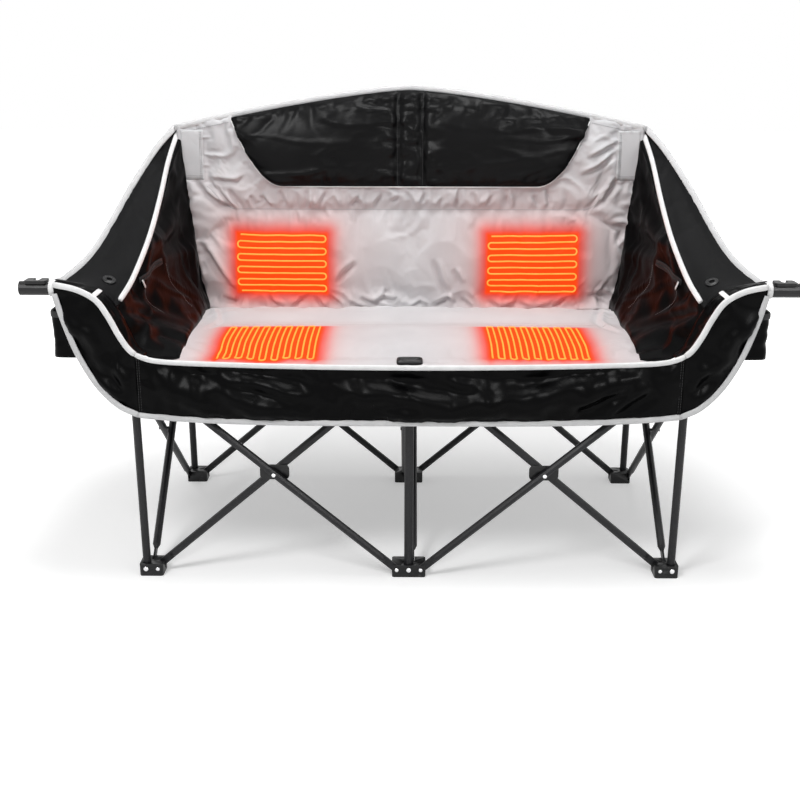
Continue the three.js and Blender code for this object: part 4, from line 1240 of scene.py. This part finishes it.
def add_back():
    count_u, low_rows, high_rows = 136, 32, 34
    rows = low_rows + high_rows

    def place(u, v):
        s = 2 * u - 1
        rough = s * BACK_HALF_TOP
        j = v * rows
        if j <= low_rows:
            z = lerp(BACK_BOTTOM - 0.003, back_seam(rough), j / low_rows)
        else:
            z = lerp(back_seam(rough), back_top(rough), (j - low_rows) / high_rows)
        return s * back_half(z), z

    def front(u, v):
        x, z = place(u, v)
        flare = max(0.0, 1 - (z - BACK_BOTTOM) / 0.050)
        return (x, back_rear(z) - back_depth(x, z) - BACK_FLARE * flare * flare * lerp(0.62, 1, plateau(u)), z)

    def rear(u, v):
        x, z = place(u, v)
        return (x, back_rear(z), z)

    points = grid_points(count_u, rows, front)
    pinned = edge_pins(rows + 1, count_u + 1)
    for j in range(rows + 1):
        for i in range(count_u + 1):
            x, _, z = points[j, i]
            under_headrest = abs(x) < HEADREST_HALF_TOP and z > headrest_bottom(x) - 0.001
            on_seam = j == low_rows and abs(x) < 0.475
            on_patch = abs(x) > 0.466 and 0.736 < z < 0.840
            pinned[j, i] |= under_headrest or on_seam or on_patch
            if under_headrest and z > headrest_bottom(x) + 0.004:
                points[j, i, 1] += 0.003
    face = settle(
        points, back_height, (0, -1, 0), pull=(0, -0.6, -0.8), slack=0.035, cap=0.022,
        seams=pinned, bending=0.4, cells=2.5,
    )
    zones = away_from(BACK_ZONES, 2)

    def clear(points):
        edge = np.vectorize(headrest_bottom)(points[:, :, 0])
        under = (abs(points[:, :, 0]) < HEADREST_HALF_TOP) & (points[:, :, 2] > edge - 0.002)
        return zones(points) * np.where(under, 0, 1)

    face = with_folds(face, BACK_FOLDS, ((0, False), (2, False)), (0, -1, 0), 1.5, clear, cells=3)
    behind = grid_points(2 * count_u, 2 * rows, rear)
    face[:, :, 1] = np.minimum(face[:, :, 1], behind[:, :, 1] - 0.005)
    pad = two_sided("back_cushion", face, behind, [BACK_GREY, BLACK_NYLON], far_slot=1)
    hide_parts("back_pad")
    soft_piece(pad, "leg_rear_centre")
    return face


back_surface = add_back()


def surface_tree(points):
    corners = [tuple(map(float, p)) for p in points.reshape(-1, 3)]
    return BVHTree.FromPolygons(corners, grid_faces(*points.shape[:2]))


back_tree = surface_tree(back_surface)
seat_tree = surface_tree(seat_surface)


def on_back(x, z, lift):
    hit = back_tree.ray_cast(Vector((x, -1, z)), Vector((0, 1, 0)))[0]
    y = hit.y if hit else back_rear(z) - back_depth(x, z)
    return (x, y - lift, z)


def on_seat(x, y, lift):
    hit = seat_tree.ray_cast(Vector((x, y, 1)), Vector((0, 0, -1)))[0]
    z = hit.z if hit else seat_top(x, y)
    return (x, y, z + lift)


def headrest_height(x, y, z):
    beside = math.exp(-max(0.0, abs(x) - POLE_CHANNEL) / 0.07)
    height = 0.0110 * folded((x * 5, z * 20, 0), 7.7, 0.45)
    height += 0.0120 * beside * folded((x * 9, z * 44 + x * 5, 0), 3.3, 0.5)
    low = z - headrest_bottom(x)
    height += 0.0035 * math.exp(-low / 0.02) * folded((x * 30, z * 9, 0), 2.9, 0.4)
    seam = min(abs(abs(x) - POLE_CHANNEL), 0.03)
    return max(height + 0.001, 0.0) + 0.0045 * (1 - math.exp(-seam / 0.005))


def add_headrest():
    count_u, rows = 150, 38
    columns = np.linspace(-HEADREST_HALF_TOP, HEADREST_HALF_TOP, count_u + 1)
    for edge in (-POLE_CHANNEL, POLE_CHANNEL):
        columns[np.argmin(abs(columns - edge))] = edge

    def surface(u, v):
        x = columns[int(round(u * count_u))]
        low = headrest_bottom(x)
        z = lerp(low, max(low + 0.002, back_top(x) - 0.008), v)
        return (x, back_rear(z) - back_depth(x, z) - 0.002, z)

    points = grid_points(count_u, rows, surface)
    pinned = edge_pins(rows + 1, count_u + 1)
    for edge in (-POLE_CHANNEL, POLE_CHANNEL):
        pinned[:, np.argmin(abs(columns - edge))] = True
    face = settle(
        points, headrest_height, (0, -1, 0), pull=(0, -0.8, -0.3), slack=0.03, cap=0.014,
        seams=pinned, bending=0.4, cells=2.5,
    )
    base = points.copy()
    base[:, :, 1] += 0.0035
    face[:, :, 1] = np.minimum(face[:, :, 1], points[:, :, 1] + 0.001)
    panel = two_sided("headrest_cover", face, base, [HEADREST_NYLON])
    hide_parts("headrest_panel")
    soft_piece(panel, "leg_rear_centre")
    return face, columns


headrest_surface, headrest_columns = add_headrest()


def add_back_trim():
    width = BACK_HALF_TOP
    xs = np.linspace(-width + 0.003, width - 0.003, 90)
    path = [(x, back_rear(back_top(x)) - 0.004, back_top(x) - 0.004) for x in xs]
    binding = tape("back_top_binding", path, lambda p: (0, 0, 1), 0.014, 0.012, GREY_BINDING)
    soft_piece(binding, "leg_rear_centre")
    outline = [(x, headrest_bottom(x)) for x in np.linspace(-HEADREST_HALF_TOP, HEADREST_HALF_TOP, 120)]
    path = [(x, back_rear(z) - back_depth(x, z) - 0.0035, z) for x, z in outline]
    edge = tape("headrest_piping", path, lambda p: (0, 0, 1), 0.0026, 0.0026, WHITE_PIPING, 0.008, 2.0)
    soft_piece(edge, "leg_rear_centre")
    lines = []
    for edge_x in (-POLE_CHANNEL, POLE_CHANNEL):
        i = int(np.argmin(abs(headrest_columns - edge_x)))
        lines.append([tuple(p + np.array([0, -0.0006, 0])) for p in headrest_surface[:, i]])
    thread = stitched("pole_channel_stitches", lines, THREAD_BLACK)
    soft_piece(thread, "leg_rear_centre")
    corners = ((-0.50, -0.405), (0.405, 0.50))
    lines = [[on_back(x, back_top(x) - 0.017, 0.0006) for x in np.linspace(a, b, 60)] for a, b in corners]
    lines.append([on_back(x, back_seam(x), 0.0004) for x in np.linspace(-0.455, 0.455, 160)])
    thread = stitched("back_seam_stitches", lines, THREAD_GREY)
    soft_piece(thread, "leg_rear_centre")


add_back_trim()


def add_corner_patches():
    for side, sign in SIDES.items():
        def surface(u, v):
            x = sign * lerp(0.462, 0.512, u)
            z = lerp(0.735, 0.842, v)
            return on_back(x, z, 0.0008)

        patch = sheet_body(f"corner_patch_{side}", grid_points(16, 30, surface), 0.0012, [PATCH_GREY])
        soft_piece(patch, "leg_rear_centre")
        lines = []
        for x in (0.467, 0.470):
            lines.append([on_back(sign * x, z, 0.0018) for z in np.linspace(0.738, 0.838, 30)])
        for z in (0.739, 0.743):
            lines.append([on_back(sign * x, z, 0.0018) for x in np.linspace(0.467, 0.508, 14)])
        thread = stitched(f"corner_patch_stitches_{side}", lines, THREAD_GREY)
        soft_piece(thread, "leg_rear_centre")


add_corner_patches()


# ---- Heating ----


def serpentine(zone, runs, across, place):
    """One wire that goes back and forth: across along X when across is true, else along the other way."""
    middle_x, middle_v, half_w, half_h = zone
    long_half, short_half = (half_w, half_h) if across else (half_h, half_w)
    gap = 2 * short_half * 0.96 / (runs - 1)
    path = []
    for k in range(runs):
        short = -short_half * 0.96 + k * gap
        ends = (-1, 1) if k % 2 == 0 else (1, -1)
        reach = long_half - gap / 2
        for t in np.linspace(ends[0] * reach, ends[1] * reach, 26):
            path.append((t, short))
        if k < runs - 1:
            for a in np.linspace(0, math.pi, 9)[1:-1]:
                path.append((ends[1] * (reach + gap / 2 * math.sin(a)), short + gap / 2 * (1 - math.cos(a))))
    points = []
    for long, short in path:
        dx, dv = (long, short) if across else (short, long)
        points.append(place(middle_x + dx, middle_v + dv))
    return points


def add_heating():
    for label, zones, runs, across, place, body in (
        ("back", BACK_ZONES, 10, True, lambda x, z: on_back(x, z, 0.0006), "leg_rear_centre"),
        ("seat", SEAT_ZONES, 17, False, lambda x, y: on_seat(x, y, 0.0006), "seat_front"),
    ):
        points, edges = chained(serpentine(zone, runs, across, place) for zone in zones)
        wires = grown(f"heating_wires_{label}", WIRES, points, edges, {"Radius": 0.0018, "Sides": 8, "Wire": WIRE})
        soft_piece(wires, body)


add_heating()


def add_mat_pockets():
    for label, node, body in (
        ("back", "heating_mats_back", "leg_rear_centre"),
        ("seat", "heating_mats_seat", "seat_front"),
    ):
        low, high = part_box(node)
        for side, sign in SIDES.items():
            x0, x1 = sorted((sign * 0.176, sign * 0.384))

            def surface(u, v):
                x = lerp(x0, x1, u)
                across, along = (v, u) if label == "back" else (u, v)
                ridge = 0.0006 * math.sin(across * 10 * math.pi) * bulge(along)
                if label == "back":
                    z = lerp(low.z, high.z, v)
                    return (x, back_rear(z) + 0.0014 + ridge, z)
                return (x, lerp(low.y, high.y, v), SEAT_UNDERSIDE - 0.0014 - ridge)

            pocket = sheet_body(f"mat_pocket_{label}_{side}", grid_points(30, 30, surface), 0.0016, [BLACK_NYLON])
            if side == "left":
                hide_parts(node)
            soft_piece(pocket, body)


add_mat_pockets()


# ---- Power button ----


def add_button():
    """A framed rubber button: a raised rim around an oval press pad."""
    low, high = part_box("power_button")
    middle = (low + high) / 2
    half_x, half_y = (high.x - low.x) / 2, (high.y - low.y) / 2
    points = []
    sides = 40
    rings = [
        (1.0, 1.0, 0.0), (1.0, 1.0, 0.55), (0.96, 0.92, 0.9), (0.90, 0.82, 1.0), (0.80, 0.62, 1.0),
        (0.77, 0.56, 0.70), (0.72, 0.48, 0.62), (0.66, 0.38, 0.62), (0.60, 0.30, 0.85), (0.30, 0.12, 0.93),
        (0.02, 0.02, 0.95),
    ]
    for k, (wide, deep, lift) in enumerate(rings):
        square = lerp(5.0, 2.4, k / (len(rings) - 1))
        for s in range(sides):
            c, q = rounded_turn(s, sides, square)
            x, y = middle.x + half_x * wide * c, middle.y + half_y * deep * q
            points.append((x, y, seat_top(x, y) + 0.0012 + 0.0080 * lift))
    button = outward(mesh_object("power_button_cap", points, ring_faces(len(rings), sides), [PLASTIC]))
    rigid_piece(button, "power_button")
    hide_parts("power_button")


add_button()


# ---- Aprons ----


def arm_blend(made, side):
    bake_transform(made)
    return made


def arm_reach(x):
    """How far in front of the front legs the apron hangs at x."""
    return lerp(APRON_TOP_REACH, ARM_TIP_REACH, min(1, max(0, (x - APRON_SEAM) / (0.660 - APRON_SEAM))))


def arm_place(x, z):
    return (x, FRONT_ROW - arm_reach(x), z)


TOP_CURVE = curve_points(ARM_TOP, 160, arm_place)
HEM_CURVE = curve_points(ARM_HEM, 60, arm_place)


def apron_top(x):
    """The front edge of the seat sags a little in the middle."""
    sag = 0.0073 * (1 - min(1.0, abs(x) / ARM_TOP[0][0]) ** 2)
    return float(np.interp(abs(x), TOP_CURVE[:, 0], TOP_CURVE[:, 2])) - sag


def apron_hem(x):
    return lerp(ARM_HEM[0][1], APRON_HEM, plateau((x / APRON_SEAM + 1) / 2))


def apron_height(x, y, z):
    """Slack folds that run from the arms down towards the middle."""
    a = abs(x)
    long = 0.0045 * folded((a * 5 - z * 9, a * 2 + z * 3, x), 5.2, 0.2)
    short = 0.0010 * folded((x * 22, z * 18, 0), 8.3, 0.5)
    hang = math.exp(-(APRON_TOP - z) / 0.03) if z < APRON_TOP else 1.0
    return long + short + 0.0025 * hang * noise.noise(Vector((x * 34, z * 8, 3.3))) + 0.002


# Folds that drape across the apron and along the arms: (line in (x, z), width and depth in mm)
APRON_FOLDS = [
    ([(-0.485, 0.441), (-0.399, 0.407), (-0.286, 0.372), (-0.181, 0.352)], 20, -12),
    ([(-0.475, 0.415), (-0.401, 0.379), (-0.335, 0.351)], 19, -10),
    ([(-0.387, 0.431), (-0.285, 0.412), (-0.181, 0.384)], 19, -12),
    (
        [
            (-0.152, 0.37), (-0.108, 0.4), (-0.052, 0.395), (0.037, 0.377), (0.11, 0.371), (0.219, 0.382),
            (0.307, 0.41), (0.398, 0.42),
        ], 22, -15,
    ),
    ([(0.436, 0.434), (0.363, 0.402), (0.288, 0.37)], 19, -10),
    ([(0.453, 0.419), (0.411, 0.387), (0.365, 0.358)], 16, -9),
    ([(-0.076, 0.36), (0.02, 0.351), (0.135, 0.353)], 16, -8),
    ([(0.039, 0.421), (0.134, 0.405), (0.248, 0.41)], 19, -9),
]
ARM_FOLDS = [
    ([(0.655, 0.548), (0.604, 0.478), (0.552, 0.418)], 17, -10),
    ([(0.636, 0.478), (0.585, 0.412), (0.535, 0.372)], 16, -9),
    ([(0.560, 0.452), (0.530, 0.400)], 12, -6), ([(0.612, 0.520), (0.580, 0.468)], 12, -6),
]


def add_centre_apron():
    count_u, rows = 130, 20

    def surface(u, v):
        x = lerp(-APRON_SEAM, APRON_SEAM, u) * 0.9995
        z = lerp(apron_top(x) - 0.002, apron_hem(x), v)
        return (x, FRONT_ROW - APRON_TOP_REACH - 0.004 * bulge(v * 0.5), z)

    points = grid_points(count_u, rows, surface)
    cloth = settle(points, apron_height, (0, -1, 0), pull=(0, -0.4, -1.2), slack=0.012, cap=0.010, bending=6.0)
    cloth = with_folds(cloth, APRON_FOLDS, ((0, False), (2, False)), (0, -1, 0), 1.6, cells=7)
    apron = sheet_body("apron_front", cloth, FABRIC, [BLACK_NYLON])
    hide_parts("apron_centre")
    soft_piece(apron, "hub_front_centre")
    return cloth


apron_cloth = add_centre_apron()


def add_arm_aprons():
    count_u, rows = 36, 20
    top = evenly(TOP_CURVE[TOP_CURVE[:, 0] >= APRON_SEAM], count=count_u)
    hem = evenly(HEM_CURVE, count=count_u)
    seam = np.linspace(top[0], hem[0], rows + 1)
    tip = np.linspace(top[-1], hem[-1], rows + 1)
    for side, sign in SIDES.items():
        mirror = np.array([sign, 1, 1])
        points = patch_between(top, hem, seam, tip) * mirror

        def height(x, y, z):
            return 0.0040 * folded((abs(x) * 10 - z * 5, abs(x) * 3 + z * 4, sign), 2.4, 0.2)

        cloth = settle(
            points, height, (0, -1, 0), pull=(0, -0.4, -1.0), slack=0.01, cap=0.010, frames=16, bending=6.0
        )
        cloth = with_folds(cloth, ARM_FOLDS, ((0, True), (2, False)), (0, -1, 0), 1.2)
        apron = sheet_body(f"arm_apron_{side}", cloth, FABRIC, [BLACK_NYLON])
        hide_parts(f"apron_arm_{side}")
        arm_blend(apron, side)


add_arm_aprons()


def sleeve_height(x, y, z):
    return 0.0035 * folded((x * 16, z * 16, y * 20), 6.6, 0.4)


def add_arm_sleeves():
    """The dark sleeve behind each arm's piping, and the white strap across it."""
    front = evenly(TOP_CURVE[TOP_CURVE[:, 0] >= SLEEVE_END], count=80)
    back = curve_points(SLEEVE_TOP, 160, lambda x, z: (x, FRONT_ROW + 0.012, z))
    back = evenly(back[back[:, 0] >= SLEEVE_END], count=80)
    for side, sign in SIDES.items():
        mirror = np.array([sign, 1, 1])
        ends = [np.linspace(front[k], back[k], 9) for k in (0, -1)]
        points = patch_between(front, back, *ends) * mirror
        cloth = settle(
            points, sleeve_height, (0, -1, 0.4), pull=(0, -0.3, -0.8), slack=0.015, cap=0.006, frames=12, bending=0.8
        )
        sleeve = sheet_body(f"arm_sleeve_{side}", cloth, FABRIC, [BLACK_NYLON])
        arm_blend(sleeve, side)
        k = int(np.argmin(abs(front[:, 0] - 0.588)))
        strap = [(1 - t) * front[k] + t * back[k - 2] for t in np.linspace(-0.02, 1.05, 12)]
        strap = [p * mirror + np.array([0, -0.0020, 0.0026]) for p in strap]
        tag = tape(f"arm_strap_{side}", strap, lambda p: (sign, 0, 0.5), 0.010, 0.0022, WHITE_PIPING, 0.004)
        arm_blend(tag, side)


add_arm_sleeves()


def add_apron_trim():
    front = FRONT_ROW - APRON_TOP_REACH
    xs = np.linspace(-APRON_SEAM, APRON_SEAM, 140)
    path = [(x, front - 0.0010, apron_top(x)) for x in xs]
    piping = tape("seat_front_piping", path, lambda p: (0, 0, 1), 0.0100, 0.0066, WHITE_PIPING, 0.008)
    soft_piece(piping, "hub_front_centre")
    path = [(x, front - 0.0060, apron_hem(x) + 0.003) for x in xs]
    hem = tape("hem_webbing", path, lambda p: (0, 0.1, 1), 0.0115, 0.0086, GREY_BINDING, 0.008)
    soft_piece(hem, "hub_front_centre")
    seams = []
    for side, sign in SIDES.items():
        path = [(sign * x, y - 0.0010, z) for x, y, z in TOP_CURVE if x >= APRON_SEAM]
        piping = tape(f"arm_piping_{side}", path, lambda p: (sign * -0.5, 0, 1), 0.0115, 0.0066, WHITE_PIPING, 0.006)
        arm_blend(piping, side)
        path = [(sign * x, y - lerp(0.0048, 0.0022, k / 60), z + 0.002) for k, (x, y, z) in enumerate(HEM_CURVE)]
        hem = tape(
            f"arm_hem_webbing_{side}", path, lambda p: (sign * -0.7, 0, 1), 0.0115, 0.0046, GREY_BINDING, 0.006
        )
        arm_blend(hem, side)
        edge = apron_cloth[1:-1, -1 if sign > 0 else 0]
        seams += [[(x - sign * gap, y - 0.0022, z) for x, y, z in edge] for gap in (0.006, 0.002)]
    thread = stitched("apron_seam_stitches", seams, THREAD_BLACK)
    soft_piece(thread, "hub_front_centre")


add_apron_trim()


# ---- Wings and side panels ----


def along_wing(reach):
    rear, front = REAR_ROW - BACK_REAR_HIGH, FRONT_ROW + reach
    return lambda t, x, z: (x, lerp(rear, front, t), z)


INNER_CURVE = curve_points(WING_INNER, 66, along_wing(0.020))
OUTER_CURVE = curve_points(WING_OUTER, 66, along_wing(0.004))


def draw_blend(made, side):
    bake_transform(made)
    return made


def add_wings():
    rows = 16
    rear = np.linspace(INNER_CURVE[0], OUTER_CURVE[0], rows + 1)
    front = curve_points(WING_FRONT, rows, as_it_is)
    front[0], front[-1] = INNER_CURVE[-1], OUTER_CURVE[-1]
    for side, sign in SIDES.items():
        mirror = np.array([sign, 1, 1])
        points = patch_between(INNER_CURVE, OUTER_CURVE, rear, front) * mirror

        def height(x, y, z):
            return 0.0055 * folded((abs(x) * 12, y * 7 + z * 3, sign), 4.6, 0.3) - 0.003

        cloth = settle(
            points, height, (0, -0.3, 1), pull=(0, 0, -1.5), slack=0.010, cap=0.009, frames=14, bending=1.0
        )
        wing = sheet_body(f"wing_{side}", cloth, FABRIC, [WING_NYLON])
        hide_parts(f"arm_wing_{side}")
        draw_blend(wing, side)
        for label, curve, shift, lean, width, thickness, material in (
            ("inner_piping", INNER_CURVE, (-0.001, -0.001, 0.0025), 0.7, 0.0105, 0.0066, WHITE_PIPING),
            ("outer_binding", OUTER_CURVE, (0.001, 0, 0.0015), 0.8, 0.0130, 0.0056, GREY_BINDING),
        ):
            path = [(p + np.array(shift)) * mirror for p in curve]
            edge = tape(f"wing_{label}_{side}", path, lambda p: (sign * lean, 0, 1), width, thickness, material)
            draw_blend(edge, side)
        add_grommet(side, cloth)


def add_grommet(side, cloth):
    j, i = cloth.shape[0] // 2 - 1, int(cloth.shape[1] * 0.885)
    centre = cloth[j, i]
    along = cloth[j + 1, i] - cloth[j - 1, i]
    along /= np.linalg.norm(along)
    normal = np.cross(cloth[j, i + 1] - cloth[j, i - 1], along)
    normal /= np.linalg.norm(normal) * (1 if normal[2] > 0 else -1)
    other = np.cross(normal, along)
    points = []
    sides = 36
    profile = [
        (0.0050, 0.0), (0.0050, 0.0026), (0.0062, 0.0036), (0.0080, 0.0036), (0.0095, 0.0024), (0.0112, 0.0028),
        (0.0128, 0.0020), (0.0132, 0.0),
    ]
    for radius, lift in profile:
        for s in range(sides):
            a = s * math.tau / sides
            points.append(centre + (along * math.cos(a) + other * math.sin(a)) * radius + normal * (lift + 0.0010))
    ring = outward(mesh_object(f"grommet_{side}", points, ring_faces(len(profile), sides, closed=True), [PLASTIC]))
    draw_blend(ring, side)


add_wings()


# The lining's edges on the back, on the seat and behind the arm, as (across, along, up)
LINING_REAR = [
    (0.5150, 0.8300), (0.5035, 0.7344), (0.4930, 0.6500), (0.4850, 0.5754), (0.4730, 0.5000), (0.4600, 0.4570),
]
LINING_FRONT = [
    (0.5478, -0.2305, 0.5575), (0.5560, -0.2400, 0.5480), (0.5500, -0.2430, 0.5290), (0.5350, -0.2430, 0.4900),
    (0.5190, -0.2430, 0.4670), (0.4900, -0.2430, 0.4520), (0.4430, -0.2400, 0.4470),
]


# Folds in the side linings: (line in (y, z), width and depth in mm)
LINING_FOLDS = [
    ([(-0.099, 0.634), (0.064, 0.635), (0.173, 0.682)], 22, -16),
    ([(-0.027, 0.597), (0.177, 0.585), (0.26, 0.628)], 20, -13),
    ([(-0.34, 0.532), (-0.249, 0.528), (-0.111, 0.474), (-0.008, 0.432)], 17, -14),
    ([(-0.351, 0.568), (-0.254, 0.564), (-0.127, 0.512)], 14, -11),
    ([(-0.246, 0.591), (-0.161, 0.543), (-0.004, 0.446)], 17, -14),
    ([(0.173, 0.495), (0.242, 0.408), (0.147, 0.373)], 20, -10),
    ([(0.057, 0.712), (0.144, 0.765)], 13, -8),
]


def lining_height(x, y, z):
    """Deep slack folds, fanning out from the seat's rear corner."""
    a, b = y - 0.16, z - 0.45
    angle, away = math.atan2(b, -a), math.hypot(a, b)
    fan = folded((angle * 3.1, away * 5, 0), 9.3, 0.5) * min(1, away / 0.12)
    return 0.005 * fan + 0.006 * folded((y * 7, z * 6, 0), 2.2, 0.1)


def add_side_panels():
    columns, rows = 56, 40
    for side, sign in SIDES.items():
        mirror = np.array([sign, 1, 1])
        top = evenly(INNER_CURVE + np.array([-0.002, 0, -0.001]), count=columns)
        start = curve_points(LINING_REAR, rows, lambda x, z: on_back(sign * x, z, -0.0015))
        start[:, 0] = abs(start[:, 0])
        start[-1] = on_seat(sign * 0.458, SEAT_REAR - 0.004, -0.001)
        start[-1, 0] = abs(start[-1, 0])
        start[0] = top[0]
        end = curve_points(LINING_FRONT, rows, as_it_is)
        end[0] = top[-1]
        bottom = []
        for t in np.linspace(0, 1, columns + 1):
            x, y = lerp(start[-1, 0], end[-1, 0], t), lerp(start[-1, 1], end[-1, 1], t)
            bottom.append(on_seat(sign * x, y, -0.0012))
        bottom = np.array(bottom) * mirror
        bottom[0], bottom[-1] = start[-1], end[-1]
        points = patch_between(top, bottom, start, end) * mirror
        toward, pull = (-sign, -0.2, 0.2), (sign * 0.4, -0.2, -1.2)
        cloth = settle(points, lining_height, toward, pull, slack=0.008, cap=0.026, bending=14.0, cells=5)
        cloth = with_folds(cloth, LINING_FOLDS, ((1, False), (2, False)), (-sign, 0, 0), 0.7)
        panel = sheet_body(f"side_lining_{side}", cloth, FABRIC, [GLOSS_NYLON])
        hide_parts(f"side_panel_{side}")
        draw_blend(panel, side)
        add_zip(side, sign, surface_tree(cloth))


def add_zip(side, sign, tree):
    """Pocket zip on the side lining: a tape, teeth, a pull with a pale tab, and the pocket's stitches."""

    def on_lining(y, z, lift):
        hit = tree.ray_cast(Vector((0, y, z)), Vector((sign, 0, 0)))[0]
        x = hit.x if hit else sign * 0.51
        return np.array([x - sign * lift, y, z])

    def line(a, b, lift):
        return [on_lining(lerp(a[0], b[0], t), lerp(a[1], b[1], t), lift) for t in np.linspace(0, 1, 26)]

    path = line((0.000, 0.594), (-0.118, 0.576), 0.0022)
    ribbon = tape(f"zip_tape_{side}", path, lambda p: (0, 0, 1), 0.015, 0.0016, BLACK_TAPE)
    draw_blend(ribbon, side)
    edge = line((-0.004, 0.593), (-0.114, 0.5765), 0.0034)
    teeth = stitched(f"zip_teeth_{side}", [edge], PLASTIC, pitch=0.0022, length=0.0012, radius=0.0014)
    draw_blend(teeth, side)
    top = edge[-1]
    path = [top + np.array([-sign * (0.002 + 0.0008 * k), 0.0012 * k, -0.0032 * k]) for k in range(6)]
    tab = tape(f"zip_pull_{side}", path, lambda p: (0, 1, 0), 0.008, 0.0022, WHITE_PIPING, 0.004)
    draw_blend(tab, side)
    seams = [line((-0.108, 0.556), (-0.072, 0.500), 0.0016), line((0.012, 0.585), (0.052, 0.486), 0.0016)]
    thread = stitched(f"pocket_stitches_{side}", seams, THREAD_GREY, pitch=0.0042, length=0.0022)
    draw_blend(thread, side)


add_side_panels()


# ---- Tape loops and side pouches ----


def band_around_x(name, x0, x1, radius, thickness, centre, material):
    """A closed band of tape around an axis along X."""
    sides = 32
    profile = [(x0, radius), (x1, radius), (x1, radius + thickness), (x0, radius + thickness)]
    points = []
    for x, r in profile:
        for s in range(sides):
            a = s * math.tau / sides
            points.append((x, centre[1] + math.cos(a) * r, centre[2] + math.sin(a) * r))
    made = outward(mesh_object(name, points, ring_faces(len(profile), sides, closed=True), [material]))
    bevelled(made, 0.0004)
    return plain(made)


def add_tip_loops():
    for side, sign in SIDES.items():
        x0, x1 = sorted((sign * 0.6615, sign * 0.6725))
        loop = band_around_x(f"tip_loop_{side}", x0, x1, 0.0138, 0.0016, (0, FRONT_ROW, ARM_TIP[1]), WHITE_PIPING)
        rigid_piece(loop, f"arm_strut_{side}")


add_tip_loops()


def add_pouches():
    for side, sign in SIDES.items():
        low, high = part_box(f"bottle_pouch_{side}")
        low.z += 0.008
        high.z -= 0.022
        middle = (low + high) / 2
        half = (high - low) / 2
        sides, levels = 64, 18
        points = []

        def ring(level, inset):
            t = level / levels
            z = lerp(low.z, high.z, t)
            for s in range(sides):
                c, q = rounded_turn(s, sides, 5)
                slack = 0.0022 * noise.noise(Vector((c * 2.2, q * 2.2 + sign * 3, t * 5))) * bulge(t)
                shrink = 1 - 0.04 * bulge(t)
                x = middle.x + c * (half.x * shrink - inset + slack)
                y = middle.y + q * (half.y * shrink - inset + slack)
                points.append((x, y, z))

        for level in range(levels + 1):
            ring(level, 0.0003)
        for level in range(levels, 0, -1):
            ring(level, 0.0027)
        pouch = outward(mesh_object(f"pouch_{side}", points, ring_faces(2 * levels + 1, sides), [BLACK_NYLON]))
        rigid_piece(pouch, f"arm_strut_{side}")
        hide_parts(f"bottle_pouch_{side}")
        path = []
        for s in range(sides + 1):
            c, q = rounded_turn(s, sides, 5)
            path.append((middle.x + c * (half.x - 0.0015), middle.y + q * (half.y - 0.0015), high.z - 0.004))
        rim = tape(f"pouch_rim_{side}", path, lambda p: (0, 0, 1), 0.012, 0.0042, BLACK_TAPE, 0.006)
        rigid_piece(rim, f"arm_strut_{side}")


add_pouches()


# ---- Floor and light ----

SKY = 0.34
FLOOR_GLOW = 0.35

# (name, place, height it aims at, size, power, whether it is seen in gloss alone, to draw the black cloth's folds)
LAMPS = [
    ("key", (-1.3, -1.9, 2.9), 0.5, 0.9, 48, False),
    ("fill", (2.2, -2.0, 1.7), 0.5, 1.6, 9, False),
    ("top", (0.3, -0.2, 2.8), 0.4, 1.0, 33, False),
    ("gloss_left", (-1.0, -2.4, 2.3), 0.4, 0.5, 26, True),
    ("gloss_right", (1.4, -2.4, 2.1), 0.4, 0.5, 26, True),
]


def shown_to_camera(tree):
    """1 for rays that show the backdrop: seen directly, in a gloss or through a clear piece."""
    rays = tree.nodes.new("ShaderNodeLightPath")
    mirrored = calc(tree, "MAXIMUM", rays.outputs["Is Glossy Ray"], rays.outputs["Is Transmission Ray"])
    return calc(tree, "MAXIMUM", rays.outputs["Is Camera Ray"], mirrored)


def add_floor():
    floor = mesh_object("studio_floor", [(-9, -6, 0), (9, -6, 0), (9, 12, 0), (-9, 12, 0)], [(0, 1, 2, 3)], [])
    material, tree, shader = finish("pale_floor", roughness=0.9, specular=0.0)
    shader.inputs["Base Color"].default_value = (0.88, 0.88, 0.88, 1)
    _, x, y, _ = object_axes(tree)
    away = calc(tree, "SQRT", calc(tree, "ADD", calc(tree, "MULTIPLY", x, x), calc(tree, "MULTIPLY", y, y)))
    far = calc(tree, "MULTIPLY", calc(tree, "SUBTRACT", away, 0.75), 1.1, clamp=True)
    light = tree.nodes.new("ShaderNodeEmission")
    glow = calc(tree, "MULTIPLY_ADD", far, 0.7, FLOOR_GLOW)
    tree.links.new(calc(tree, "MULTIPLY", shown_to_camera(tree), glow), light.inputs["Strength"])
    both = tree.nodes.new("ShaderNodeAddShader")
    tree.links.new(shader.outputs[0], both.inputs[0])
    tree.links.new(light.outputs[0], both.inputs[1])
    tree.links.new(both.outputs[0], tree.nodes["Material Output"].inputs["Surface"])
    floor.data.materials.append(material)


def add_sky():
    world = bpy.data.worlds.new("studio")
    bpy.context.scene.world = world
    world.use_nodes = True
    tree = world.node_tree
    sky = tree.nodes["Background"]
    sky.inputs["Color"].default_value = (1, 1, 1, 1)
    tree.links.new(calc(tree, "MULTIPLY_ADD", shown_to_camera(tree), 1 - SKY, SKY), sky.inputs["Strength"])


def add_lamps():
    for name, place, height, size, power, gloss_only in LAMPS:
        data = bpy.data.lights.new(name, "AREA")
        data.size = size
        data.energy = power
        lamp = bpy.data.objects.new(name, data)
        lamp.location = place
        lamp.rotation_euler = (Vector((0, 0, height)) - Vector(place)).to_track_quat("-Z", "Y").to_euler()
        lamp.visible_diffuse = not gloss_only
        bpy.context.scene.collection.objects.link(lamp)


add_floor()
add_sky()
add_lamps()
bpy.context.scene.view_settings.view_transform = "Standard"
